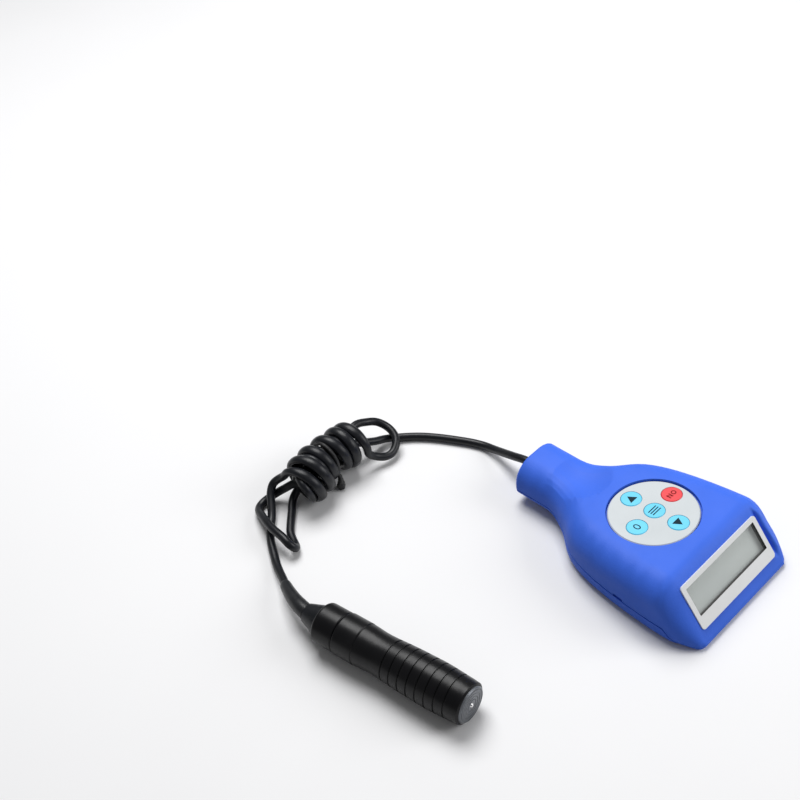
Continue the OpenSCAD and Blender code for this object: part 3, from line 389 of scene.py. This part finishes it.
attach(tie, BODY)
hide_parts("cord_tie")


# ---- Where the lead leaves the case ---------------------------------------------------------
# A rubber grommet sits in the case's narrow end. Behind it a cream nylon clamp, held by two small
# steel screws, grips the lead, so that a pull doesn't reach the connector on the board.
def joined_copy(node):
    """A copy of a CAD node, with its loose triangles joined at their corners."""
    piece = new_piece(node + "_skin", NODES[node].data.copy())
    bpy.ops.mesh.customdata_custom_splitnormals_clear()
    bpy.ops.object.mode_set(mode="EDIT")
    bpy.ops.mesh.select_mode(type="VERT")
    bpy.ops.mesh.select_all(action="SELECT")
    bpy.ops.mesh.remove_doubles(threshold=2e-6)
    bpy.ops.mesh.dissolve_degenerate(threshold=1e-6)
    bpy.ops.object.mode_set(mode="OBJECT")
    return piece


def even_shading(piece, sharp=34, ease=0.0):
    """Shades a piece smoothly up to its sharp edges, which are first eased by a hair, in
    millimetres, where a mould or a lathe leaves them so."""
    take_up(piece)
    bpy.ops.object.shade_smooth_by_angle(angle=math.radians(sharp), keep_sharp_edges=False)
    if ease:
        rim = piece.modifiers.new("eased_edges", "BEVEL")
        rim.width = ease * MM
        rim.segments = 2
        rim.limit_method = "ANGLE"
        rim.angle_limit = math.radians(sharp)
        rim.harden_normals = False
        bpy.ops.object.modifier_apply(modifier=rim.name)
    shading = piece.modifiers.new("even_shading", "WEIGHTED_NORMAL")
    shading.keep_sharp = True
    bpy.ops.object.modifier_apply(modifier=shading.name)


grommet = joined_copy("cord_grommet")
even_shading(grommet)
paint(grommet, cord_rubber)
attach(grommet, BODY)
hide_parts("cord_grommet")
connector_cream = finish(
    "connector_cream", dark=(0.70, 0.66, 0.55), light=(0.76, 0.72, 0.60), rough=(0.4, 0.5),
    cloud=120, grain=3000, grain_depth=0.00003)
screw_steel = finish(
    "screw_steel", dark=(0.42, 0.43, 0.44), light=(0.55, 0.56, 0.57), rough=(0.25, 0.4),
    cloud=200, grain=5000, grain_depth=0.00003, metal=1.0)
paint(NODES["inner_lead"], cord_rubber)
paint(NODES["cord_clamp"], connector_cream)
paint(NODES["clamp_screws"], screw_steel)


# ---- The case's upper half ------------------------------------------------------------------
# A blue ABS moulding with a finely sparked skin: the narrow neck has a shallow scoop for the
# thumb, and the sloping front has a pocket for the display and a lip beside the pocket's end.
SCOOP_Y, SCOOP_R, SCOOP_DEEP = 26.0, 12.0, 1.5
SCOOP_DEEPER = 1.2  # the moulded scoop against the CAD's
SCOOP_RIM = 3.0  # how far beyond the scoop the faces are cut finer
INSIDE_BELOW = 16.0  # the case's inner side lies lower than this at the scoop
FRONT = (Matrix.Translation(Vector((0, -42.31, 13.66)) * MM)
         @ Matrix.Rotation(math.radians(53), 4, "X"))
bezel_at = np.array([FRONT.inverted() @ v.co for v in NODES["display_bezel"].data.vertices]) / MM
BEZEL_X = float(bezel_at[:, 0].max())
BEZEL_LOW, BEZEL_HIGH = float(bezel_at[:, 1].min()), float(bezel_at[:, 1].max())
# The lip's profile away from the bezel's end: a channel, a steep side, and a round back
lip_x = [0.2, 0.5, 1.4, 2.0, 2.4, 3.0, 4.2, 6.2]
lip_high = [0, -1.0, -0.9, 0.3, 0.8, 0.9, 0.5, 0]
LIP_FROM, LIP_CUT = 0.15, 0.3
LIP_FLOOR = -2.6  # under the face of the front by this, the moulding isn't touched


def scoop_at(place):
    """How deep the thumb's scoop is above a place, in metres."""
    far = (place.x / MM) ** 2 + (place.y / MM - SCOOP_Y) ** 2
    return SCOOP_DEEP * MM * max(0.0, 1 - far / SCOOP_R ** 2)


def near_the_scoop(place):
    off = math.hypot(place.x, place.y - SCOOP_Y * MM)
    return place.z > INSIDE_BELOW * MM and off < (SCOOP_R + SCOOP_RIM) * MM


def by_the_bezel_end(face):
    """Whether a face of the front lies where the channel and the lip are moulded."""
    at = np.array([FRONT.inverted() @ v.co for v in face.verts]) / MM
    low, high = at.min(axis=0), at.max(axis=0)
    return bool(low[2] > -3.2 and high[0] > BEZEL_X - 1
                and high[1] > BEZEL_LOW - 3 and low[1] < BEZEL_HIGH + 4)


def lip_at(x, y, z):
    """How high the front stands at a place x beyond the bezel's end, in millimetres."""
    ends = [BEZEL_LOW - 1.5, BEZEL_LOW + 3, BEZEL_HIGH - 1, BEZEL_HIGH + 2.4]
    lift = np.interp(x, lip_x, lip_high) * np.interp(y, ends, [0, 1, 1, 0])
    return lift * np.interp(z, [LIP_FLOOR, -1.2], [0, 1])


blue_case = finish(
    "blue_case", dark=(0.040, 0.140, 0.73), light=(0.048, 0.156, 0.80), rough=(0.54, 0.62),
    cloud=40, grain=1500, grain_depth=0.00014, grain_strength=0.4, specular=0.28)
upper = joined_copy("top_housing")
shape = upper.data

# The scoop: its coarse depth is noted at each corner, the faces there are cut finer, which fills
# in the notes evenly between, and then each corner is put on the true curve
coarse = shape.attributes.new("coarse_depth", "FLOAT", "POINT")
for corner, note in zip(shape.vertices, coarse.data):
    note.value = scoop_at(corner.co)
bpy.ops.object.mode_set(mode="EDIT")
bpy.ops.mesh.select_all(action="DESELECT")
cutting = bmesh.from_edit_mesh(shape)
for corner in cutting.verts:
    corner.select_set(near_the_scoop(corner.co))
cutting.select_flush(True)
bpy.ops.mesh.subdivide(number_cuts=3)
bpy.ops.object.mode_set(mode="OBJECT")
coarse = shape.attributes["coarse_depth"]
for corner, note in zip(shape.vertices, coarse.data):
    if corner.co.z > INSIDE_BELOW * MM:
        corner.co.z += note.value - SCOOP_DEEPER * scoop_at(corner.co)
shape.attributes.remove(coarse)

# The channel and the lip: only the faces there are left showing, cut along a fine grid, and then
# their corners are moved to the lip's profile
bpy.ops.object.mode_set(mode="EDIT")
bpy.ops.mesh.select_mode(type="FACE")
bpy.ops.mesh.select_all(action="DESELECT")
cutting = bmesh.from_edit_mesh(shape)
for face in cutting.faces:
    face.select_set(by_the_bezel_end(face))
bpy.ops.mesh.hide(unselected=True)
cuts = [(Vector((BEZEL_X + x, 0, 0)), Vector((1, 0, 0))) for x in np.arange(0.2, 6.4, LIP_CUT)]
cuts += [(Vector((0, y, 0)), Vector((0, 1, 0)))
         for y in np.arange(BEZEL_LOW - 2, BEZEL_HIGH + 3.5, 0.9)]
for spot, across in cuts:
    bpy.ops.mesh.select_all(action="SELECT")
    bpy.ops.mesh.bisect(plane_co=FRONT @ (spot * MM), plane_no=FRONT.to_3x3() @ across,
                        threshold=1e-6)
bpy.ops.object.mode_set(mode="OBJECT")
for corner in shape.vertices:
    at = FRONT.inverted() @ corner.co
    x, y, z = at.x / MM - BEZEL_X, at.y / MM, at.z / MM
    if not corner.hide and z >= LIP_FLOOR and x >= LIP_FROM:
        at.z += lip_at(x, y, z) * MM
        corner.co = FRONT @ at
bpy.ops.object.mode_set(mode="EDIT")
bpy.ops.mesh.reveal(select=False)
bpy.ops.mesh.select_mode(type="VERT")
bpy.ops.object.mode_set(mode="OBJECT")
even_shading(upper, ease=0.25)
paint(upper, blue_case)
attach(upper, BODY)
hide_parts("top_housing")


# ---- The case's lower half ------------------------------------------------------------------
# The same blue ABS, moulded as a tray. It meets the upper half in a stepped seam with a hair's
# gap, stands a hair wider, and is held to it by four steel screws from below.
SEAM_OPEN = (1.003, 1.0015, 0.965)
lower = joined_copy("bottom_housing")
bpy.ops.object.mode_set(mode="EDIT")
bpy.ops.mesh.select_all(action="SELECT")
bpy.ops.transform.resize(value=SEAM_OPEN, center_override=(0, 0, 0))
bpy.ops.object.mode_set(mode="OBJECT")
even_shading(lower, ease=0.3)
paint(lower, blue_case)
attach(lower, BODY)
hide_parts("bottom_housing")
paint(NODES["case_screws"], screw_steel)


# ---- The battery cover ----------------------------------------------------------------------
# A flat blue ABS lid in the base. It swings on two hooks at its display end and snaps shut with
# a springy tongue at the other.
cover = joined_copy("battery_cover")
even_shading(cover)
paint(cover, blue_case)
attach(cover, "cover")
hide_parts("battery_cover")


# ---- Power ----------------------------------------------------------------------------------
# Two AAA cells in printed plastic jackets lie across the case. They are held between coiled
# spring contacts and flat ones, both of plated spring steel, pressed into slots.
cell_jacket = finish(
    "cell_jacket", dark=(0.03, 0.20, 0.09), light=(0.04, 0.26, 0.12), rough=(0.25, 0.35),
    cloud=60, grain=2000, grain_depth=0.00003)
spring_steel = finish(
    "spring_steel", dark=(0.55, 0.55, 0.56), light=(0.66, 0.66, 0.67), rough=(0.22, 0.34),
    cloud=200, grain=5000, grain_depth=0.00002, metal=1.0)
paint(NODES["battery_cells"], cell_jacket)
paint(NODES["contact_springs"], spring_steel)
paint(NODES["contact_plates"], spring_steel)


# ---- The board ------------------------------------------------------------------------------
# One green glass-fibre board carries everything: the black moulded processor, the key switches
# and the cream connector of the lead are soldered to it, and steel screws hold it in the case.
board_green = finish(
    "board_green", dark=(0.02, 0.14, 0.05), light=(0.03, 0.19, 0.07), rough=(0.3, 0.42),
    cloud=120, grain=4000, grain_depth=0.00003)
component_black = finish(
    "component_black", dark=(0.018, 0.018, 0.02), light=(0.03, 0.03, 0.032), rough=(0.4, 0.55),
    cloud=150, grain=4000, grain_depth=0.00003)
paint(NODES["circuit_board"], board_green)
paint(NODES["board_screws"], screw_steel)
paint(NODES["processor"], component_black)
paint(NODES["key_switches"], component_black)
paint(NODES["lead_connector"], connector_cream)


# ---- The display's panel --------------------------------------------------------------------
# A blank grey liquid crystal panel lies under the sloping front. A thin amber film with printed
# tracks joins it to the board.
lcd_grey = finish(
    "lcd_grey", dark=(0.60, 0.65, 0.63), light=(0.68, 0.73, 0.70), rough=(0.45, 0.55),
    cloud=30, grain=6000, grain_depth=0.00002, grain_strength=0.1)
ribbon_film = finish(
    "ribbon_film", dark=(0.55, 0.33, 0.10), light=(0.62, 0.38, 0.12), rough=(0.3, 0.4),
    cloud=90, grain=2500, grain_depth=0.00003)
paint(NODES["lcd_panel"], lcd_grey)
paint(NODES["display_ribbon"], ribbon_film)


# ---- The display's window and bezel ---------------------------------------------------------
# A clear acrylic pane covers the panel. A white moulded frame is pressed into the pocket over
# it, and its inner walls are painted near black as painted shade in the pocket.
clear_window, pane_tree, pane_shader, pane_where = bare_material("clear_window")
pane_shader.inputs["Base Color"].default_value = (0.9, 0.93, 0.94, 1)
pane_shader.inputs["Alpha"].default_value = 0.14
pane_shader.inputs["IOR"].default_value = 1.49
pane_smear = unevenness(pane_tree, pane_where, 90, 3)
pane_tree.links.new(gloss_between(pane_tree, pane_smear, 0.06, 0.12),
                    pane_shader.inputs["Roughness"])
clear_window.surface_render_method = "BLENDED"
paint(NODES["display_window"], clear_window)

white_bezel = finish(
    "white_bezel", dark=(0.80, 0.81, 0.82), light=(0.84, 0.85, 0.86), rough=(0.36, 0.44),
    cloud=60, grain=1800, grain_depth=0.00005, grain_strength=0.2)
# Near black, as painted shade on the walls where shade falls: in the display's pocket and in the
# keypad's gap
painted_shade_edge = finish(
    "painted_shade_edge", dark=(0.030, 0.028, 0.026), light=(0.045, 0.042, 0.04), rough=(0.6, 0.7),
    cloud=200)
BEZEL_RIM, BEZEL_RIM_X = 0.9, 1.2  # the outer walls lie nearer to the bezel's outline than this


def second_finish(piece, material, chosen):
    """Gives the faces that chosen() picks by their middle and normal a finish of their own."""
    piece.data.materials.append(material)
    for face in piece.data.polygons:
        if chosen(face.center, face.normal):
            face.material_index = 1


def bezel_inner_wall(middle, normal):
    at = (FRONT.inverted() @ middle) / MM
    steep = abs(normal.dot(FRONT.to_3x3() @ Vector((0, 0, 1)))) < 0.35
    return (steep and abs(at.x) < BEZEL_X - BEZEL_RIM_X
            and BEZEL_LOW + BEZEL_RIM < at.y < BEZEL_HIGH - BEZEL_RIM)


bezel = joined_copy("display_bezel")
paint(bezel, white_bezel)
# The pocket's inner walls get the painted shade
second_finish(bezel, painted_shade_edge, bezel_inner_wall)
even_shading(bezel, ease=0.12)
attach(bezel, BODY)
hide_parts("display_bezel")


# ---- The keypad's plate ---------------------------------------------------------------------
# A round grey plate with five holes, moulded and pressed into its recess with a narrow gap all
# round. The plate's steep rim is painted near black as painted shade in the gap.
PAD = (Matrix.Translation(Vector((0, -8.2, 23.08)) * MM)
       @ Matrix.Rotation(math.radians(-4.3), 4, "X"))
PLATE_SMALLER = 0.994
keypad_grey = finish(
    "keypad_grey", dark=(0.53, 0.57, 0.59), light=(0.58, 0.62, 0.64), rough=(0.42, 0.5),
    cloud=50, grain=3000, grain_depth=0.00004, grain_strength=0.2)


def plate_rim(middle, normal):
    steep = abs(normal.dot(PAD.to_3x3() @ Vector((0, 0, 1)))) < 0.5
    return steep and (PAD.inverted() @ middle).xy.length > 17 * MM


plate = joined_copy("keypad_plate")
for corner in plate.data.vertices:
    at = PAD.inverted() @ corner.co
    if at.xy.length > 16 * MM:
        at.x *= PLATE_SMALLER
        at.y *= PLATE_SMALLER
        corner.co = PAD @ at
paint(plate, keypad_grey)
# The plate's steep rim gets the painted shade of the gap round it
second_finish(plate, painted_shade_edge, plate_rim)
even_shading(plate)
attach(plate, BODY)
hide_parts("keypad_plate")


# ---- The keys -------------------------------------------------------------------------------
# Five round caps of coloured plastic stand in the plate's holes, flush with it: a red one that
# switches the gauge on and four light blue ones. Each sits on its own switch on the board.
key_red = finish(
    "key_red", dark=(0.78, 0.035, 0.046), light=(0.84, 0.05, 0.06), rough=(0.4, 0.48),
    cloud=80, grain=3000, grain_depth=0.00003, grain_strength=0.2)
key_cyan = finish(
    "key_cyan", dark=(0.11, 0.60, 0.84), light=(0.13, 0.64, 0.90), rough=(0.4, 0.48),
    cloud=80, grain=3000, grain_depth=0.00003, grain_strength=0.2)
for key in ("power", "zero", "up", "down", "menu"):
    cap = joined_copy("key_" + key)
    even_shading(cap)
    paint(cap, key_red if key == "power" else key_cyan)
    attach(cap, "key_" + key + "_cap")
    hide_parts("key_" + key)


# ---- The marks on the keys ------------------------------------------------------------------
# Dark ink, pad printed on the caps: two arrows, three bars, a nought, and ON in dark red. They
# read from the lead's end. Each mark is a sheet of ink a few hundredths of a millimetre thick.
INK_THICK, INK_OFF = 0.03, 0.01
ARROW_WIDE, ARROW_LOW, ARROW_HIGH = 4.0, -1.5, 1.9
RING_SIDES = 28
ink_dark = finish(
    "ink_dark", dark=(0.010, 0.03, 0.042), light=(0.014, 0.04, 0.055), rough=(0.7, 0.8),
    cloud=200, specular=0.15)
ink_red = finish(
    "ink_red", dark=(0.20, 0.010, 0.010), light=(0.24, 0.013, 0.013), rough=(0.7, 0.8),
    cloud=200, specular=0.15)


def start_mark(key):
    """An empty sheet at the origin, in edit mode, that strokes are added to."""
    name = "legend_" + key
    mark = new_piece(name, bpy.data.meshes.new(name))
    bpy.ops.object.mode_set(mode="EDIT")
    return mark


def arrow_stroke(turned=0.0):
    """A filled arrowhead, from a three-sided disc that is stretched and turned."""
    high = ARROW_HIGH - ARROW_LOW
    middle = ARROW_HIGH - high / 1.5
    bpy.ops.mesh.primitive_circle_add(vertices=3, radius=MM, fill_type="NGON")
    bpy.ops.transform.resize(value=(ARROW_WIDE / math.sqrt(3), high / 1.5, 1),
                             center_override=(0, 0, 0))
    bpy.ops.transform.translate(value=(0, middle * MM, 0))
    bpy.ops.transform.rotate(value=turned, orient_axis="Z", center_override=(0, 0, 0))


def bar_stroke(x0, y0, x1, y1, drop=0.0):
    """A straight stroke, from a square stretched to its corners. drop lowers its right end."""
    middle = ((x0 + x1) / 2 * MM, (y0 + y1) / 2 * MM, 0)
    bpy.ops.mesh.primitive_plane_add(size=MM, location=middle)
    bpy.ops.transform.resize(value=(x1 - x0, y1 - y0, 1), center_override=middle)
    if drop:
        stroke = bmesh.from_edit_mesh(bpy.context.object.data)
        for corner in [v for v in stroke.verts if v.select]:
            corner.select_set(corner.co.x > middle[0])
        stroke.select_flush(False)
        bpy.ops.transform.translate(value=(0, -drop * MM, 0))


def ring_stroke(x, y, wide, high, stroke):
    """An oval stroke, from a ring of edges that is extruded inwards."""
    middle = (x * MM, y * MM, 0)
    bpy.ops.mesh.primitive_circle_add(vertices=RING_SIDES, radius=MM, location=middle)
    bpy.ops.transform.resize(value=(wide, high, 1), center_override=middle)
    bpy.ops.mesh.extrude_region()
    bpy.ops.transform.resize(value=(1 - stroke / wide, 1 - stroke / high, 1),
                             center_override=middle)


def print_mark(mark, key, ink):
    """Gives the finished strokes the ink's thickness and lays them on the cap's top."""
    bpy.ops.mesh.select_all(action="SELECT")
    bpy.ops.mesh.extrude_region_move(TRANSFORM_OT_translate={"value": (0, 0, INK_THICK * MM)})
    bpy.ops.mesh.select_all(action="SELECT")
    bpy.ops.mesh.normals_make_consistent(inside=False)
    bpy.ops.object.mode_set(mode="OBJECT")
    bpy.ops.object.shade_flat()
    cap_at = np.array([PAD.inverted() @ v.co for v in NODES["key_" + key].data.vertices])
    low, top = cap_at.min(axis=0), cap_at.max(axis=0)
    spot = Vector(((low[0] + top[0]) / 2, (low[1] + top[1]) / 2, top[2] + INK_OFF * MM))
    mark.matrix_world = PAD @ Matrix.Translation(spot) @ Matrix.Rotation(math.pi, 4, "Z")
    bpy.ops.object.transform_apply(location=True, rotation=True, scale=True)
    paint(mark, ink)
    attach(mark, "key_" + key + "_cap")


up_mark = start_mark("up")
arrow_stroke()
print_mark(up_mark, "up", ink_dark)

down_mark = start_mark("down")
arrow_stroke(turned=math.pi)
print_mark(down_mark, "down", ink_dark)

zero_mark = start_mark("zero")
ring_stroke(0, 0, 1.15, 1.6, 0.45)
print_mark(zero_mark, "zero", ink_dark)

menu_mark = start_mark("menu")
for y in (-1.1, 0, 1.1):
    bar_stroke(-2.4, y - 0.22, 2.4, y + 0.22)
print_mark(menu_mark, "menu", ink_dark)

on_mark = start_mark("power")
ring_stroke(-1.2, 0, 1.05, 1.12, 0.42)
bar_stroke(0.35, -1.1, 0.8, 1.1)
bar_stroke(1.75, -1.1, 2.2, 1.1)
bar_stroke(0.8, 0.45, 1.75, 1.1, drop=1.55)
print_mark(on_mark, "power", ink_red)


# ---- The probe's shell ----------------------------------------------------------------------
# Three hard black plastic turnings, screwed end to end: the grooved barrel, a collar and the rear
# cap, with a lathe's fine marks. A tapered rubber boot in the cap takes the sleeve and the lead.
PROBE = (Matrix.Translation(Vector((-103.4, -6.4, 9)) * MM)
         @ Matrix.Rotation(math.radians(7.2), 4, "Z") @ Matrix.Rotation(math.radians(-90), 4, "X"))
PROBE_LONG = 68.5
CAP_FROM, CAP_LONG = 0.832 * PROBE_LONG * MM, 0.168 * PROBE_LONG * MM
# The cap's length is drawn in, so that it ends flat behind a short rounding
cap_share, cap_drawn_in = [0.3, 0.52, 0.66, 0.8, 0.92, 1], [0.3, 0.74, 0.81, 0.86, 0.885, 0.9]


def turned_marks(material, kind, pitch, depth):
    """Adds a lathe's marks about the probe's own axis, over the grain: bands along it, or rings
    on its end, of this pitch and depth in millimetres."""
    tree = material.node_tree
    nodes = {kind_of.type: kind_of for kind_of in tree.nodes}
    shader, where, grain = nodes["BSDF_PRINCIPLED"], nodes["TEX_COORD"], nodes["BUMP"]
    axis = tree.nodes.new("ShaderNodeMapping")
    axis.vector_type = "TEXTURE"
    axis.inputs["Location"].default_value = (-0.1034, -0.0064, 0.009)
    axis.inputs["Rotation"].default_value = (math.radians(-90), 0, math.radians(7.2))
    tree.links.new(where.outputs["Object"], axis.inputs["Vector"])
    wave = tree.nodes.new("ShaderNodeTexWave")
    wave.wave_type = kind
    wave.bands_direction = "Z"
    wave.rings_direction = "Z"
    wave.inputs["Scale"].default_value = math.pi / (10 * pitch * MM)
    tree.links.new(axis.outputs[0], wave.inputs["Vector"])
    cut = tree.nodes.new("ShaderNodeBump")
    cut.inputs["Strength"].default_value = 0.6
    cut.inputs["Distance"].default_value = depth * MM
    tree.links.new(wave.outputs["Fac"], cut.inputs["Height"])
    tree.links.new(grain.outputs[0], cut.inputs["Normal"])
    tree.links.new(cut.outputs[0], shader.inputs["Normal"])


probe_black = finish(
    "probe_black", dark=(0.003, 0.003, 0.004), light=(0.006, 0.006, 0.007), rough=(0.28, 0.34),
    cloud=60, grain=2400, grain_depth=0.00003, grain_strength=0.25, specular=0.22)
turned_marks(probe_black, "BANDS", 0.3, 0.002)
rear_cap = joined_copy("probe_rear_cap")
for corner in rear_cap.data.vertices:
    at = PROBE.inverted() @ corner.co
    share = (at.z - CAP_FROM) / CAP_LONG
    if share > cap_share[0]:
        at.z = CAP_FROM + CAP_LONG * np.interp(share, cap_share, cap_drawn_in)
        corner.co = PROBE @ at
for node, turning in (("probe_barrel", joined_copy("probe_barrel")),
                      ("probe_collar", joined_copy("probe_collar")),
                      ("probe_rear_cap", rear_cap)):
    even_shading(turning, ease=0.1)
    paint(turning, probe_black)
    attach(turning, BODY)
    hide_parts(node)

boot = joined_copy("probe_boot")
for corner in boot.data.vertices:
    at = PROBE.inverted() @ corner.co
    if at.z > 67 * MM:
        flare = np.interp(at.z / MM, [68.5, 70.5, 75], [1.2, 1.12, 1.08])
        at.x *= flare
        at.y *= flare
        at.z -= np.interp(at.z / MM, [68.5, 75], [1.4, 0]) * MM
        corner.co = PROBE @ at
even_shading(boot)
paint(boot, cord_rubber)
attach(boot, BODY)
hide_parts("probe_boot")
paint(NODES["probe_lead"], cord_rubber)


# ---- The probe's measuring head -------------------------------------------------------------
# A dark turned metal face with a hard bright pin at its middle is pressed on a steel stem. The
# stem carries a copper coil on a black bobbin, and slides in a brass bush.
HEAD = "sprung_head"
face_metal = finish(
    "face_metal", dark=(0.13, 0.14, 0.155), light=(0.18, 0.19, 0.21), rough=(0.34, 0.46),
    cloud=160, grain=5000, grain_depth=0.00004, grain_strength=0.4, metal=0.5)
turned_marks(face_metal, "RINGS", 0.55, 0.09)
pin_metal = finish(
    "pin_metal", dark=(0.70, 0.70, 0.70), light=(0.82, 0.82, 0.82), rough=(0.14, 0.22),
    cloud=300, grain=6000, grain_depth=0.00001, metal=1.0)
copper_wire = finish(
    "copper_wire", dark=(0.55, 0.20, 0.09), light=(0.70, 0.28, 0.13), rough=(0.25, 0.4),
    cloud=200, grain=4000, grain_depth=0.00003, metal=1.0)
stem_metal = finish(
    "stem_metal", dark=(0.50, 0.51, 0.52), light=(0.62, 0.63, 0.64), rough=(0.22, 0.34),
    cloud=160, grain=5000, grain_depth=0.00002, metal=1.0)
bush_brass = finish(
    "bush_brass", dark=(0.60, 0.42, 0.16), light=(0.72, 0.52, 0.22), rough=(0.22, 0.36),
    cloud=160, grain=5000, grain_depth=0.00002, metal=1.0)
face = joined_copy("measuring_head")
even_shading(face)
paint(face, face_metal)
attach(face, HEAD)
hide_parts("measuring_head")
pin = joined_copy("measuring_pin")
even_shading(pin)
paint(pin, pin_metal)
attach(pin, HEAD)
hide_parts("measuring_pin")
paint(NODES["head_stem"], stem_metal)
paint(NODES["coil_bobbin"], component_black)
paint(NODES["coil_winding"], copper_wire)
paint(NODES["guide_bush"], bush_brass)


# ---- The measuring head's spring ------------------------------------------------------------
# A coil of spring steel wire round the stem pushes the head out. A steel ring, snapped into a
# groove of the stem, stops it. The coil shortens towards its inner end as the head goes in.
spring = joined_copy("head_spring")
even_shading(spring)
paint(spring, spring_steel)
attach(spring, BODY)
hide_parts("head_spring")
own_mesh(spring)
paint(NODES["retaining_ring"], spring_steel)


# ---- The table ------------------------------------------------------------------------------
# A wide sheet of matt white board that the gauge lies on. It shows nearly white to the camera,
# but throws back only half as much light, so that the object's sides keep their shade.
FLOOR_WIDE = 6.0
FLOOR_THROWN = (0.45, 0.45, 0.45, 1)
bpy.ops.object.select_all(action="DESELECT")
bpy.ops.mesh.primitive_plane_add(size=FLOOR_WIDE)
floor = bpy.context.object
floor.name = floor.data.name = "floor"
floor_white = finish("floor", dark=(0.82, 0.82, 0.83), light=(0.84, 0.84, 0.85),
                     rough=(0.6, 0.7), cloud=3)
floor_tree = floor_white.node_tree
floor_shader = next(n for n in floor_tree.nodes if n.type == "BSDF_PRINCIPLED")
shown = floor_shader.inputs["Base Color"].links[0].from_socket
ray = floor_tree.nodes.new("ShaderNodeLightPath")
seen = ray.outputs["Is Camera Ray"]
for mirrored in ("Is Glossy Ray", "Is Transmission Ray"):
    either = floor_tree.nodes.new("ShaderNodeMath")
    either.operation = "MAXIMUM"
    floor_tree.links.new(seen, either.inputs[0])
    floor_tree.links.new(ray.outputs[mirrored], either.inputs[1])
    seen = either.outputs[0]
pick = floor_tree.nodes.new("ShaderNodeMix")
pick.data_type = "RGBA"
pick.inputs[6].default_value = FLOOR_THROWN
floor_tree.links.new(seen, pick.inputs[0])
floor_tree.links.new(shown, pick.inputs[7])
floor_tree.links.new(pick.outputs[2], floor_shader.inputs["Base Color"])
paint(floor, floor_white)


# ---- The light ------------------------------------------------------------------------------
# Two wide square soft boxes, one high behind the gauge and one lower at its right, in a room
# that is evenly and dimly lit. At this level a colour renders about as it is written.
AIMED_AT = Vector((-0.03, 0.03, 0))
BOX_WIDE = 0.6
ROOM_LEVEL = 0.2
for name, place, watts in (("key_light", (0.2, 0.42, 0.9), 9.6),
                           ("side_light", (0.6, -0.66, 0.55), 5.2)):
    bpy.ops.object.light_add(type="AREA", location=place)
    soft_box = bpy.context.object
    soft_box.name = soft_box.data.name = name
    soft_box.data.shape = "SQUARE"
    soft_box.data.size = BOX_WIDE
    soft_box.data.energy = watts
    soft_box.rotation_euler = (AIMED_AT - Vector(place)).to_track_quat("-Z", "Y").to_euler()
room = bpy.data.worlds.new("studio")
room.use_nodes = True
room.node_tree.nodes["Background"].inputs[0].default_value = (1, 1, 1, 1)
room.node_tree.nodes["Background"].inputs[1].default_value = ROOM_LEVEL
bpy.context.scene.world = room
bpy.context.scene.view_settings.view_transform = "Standard"
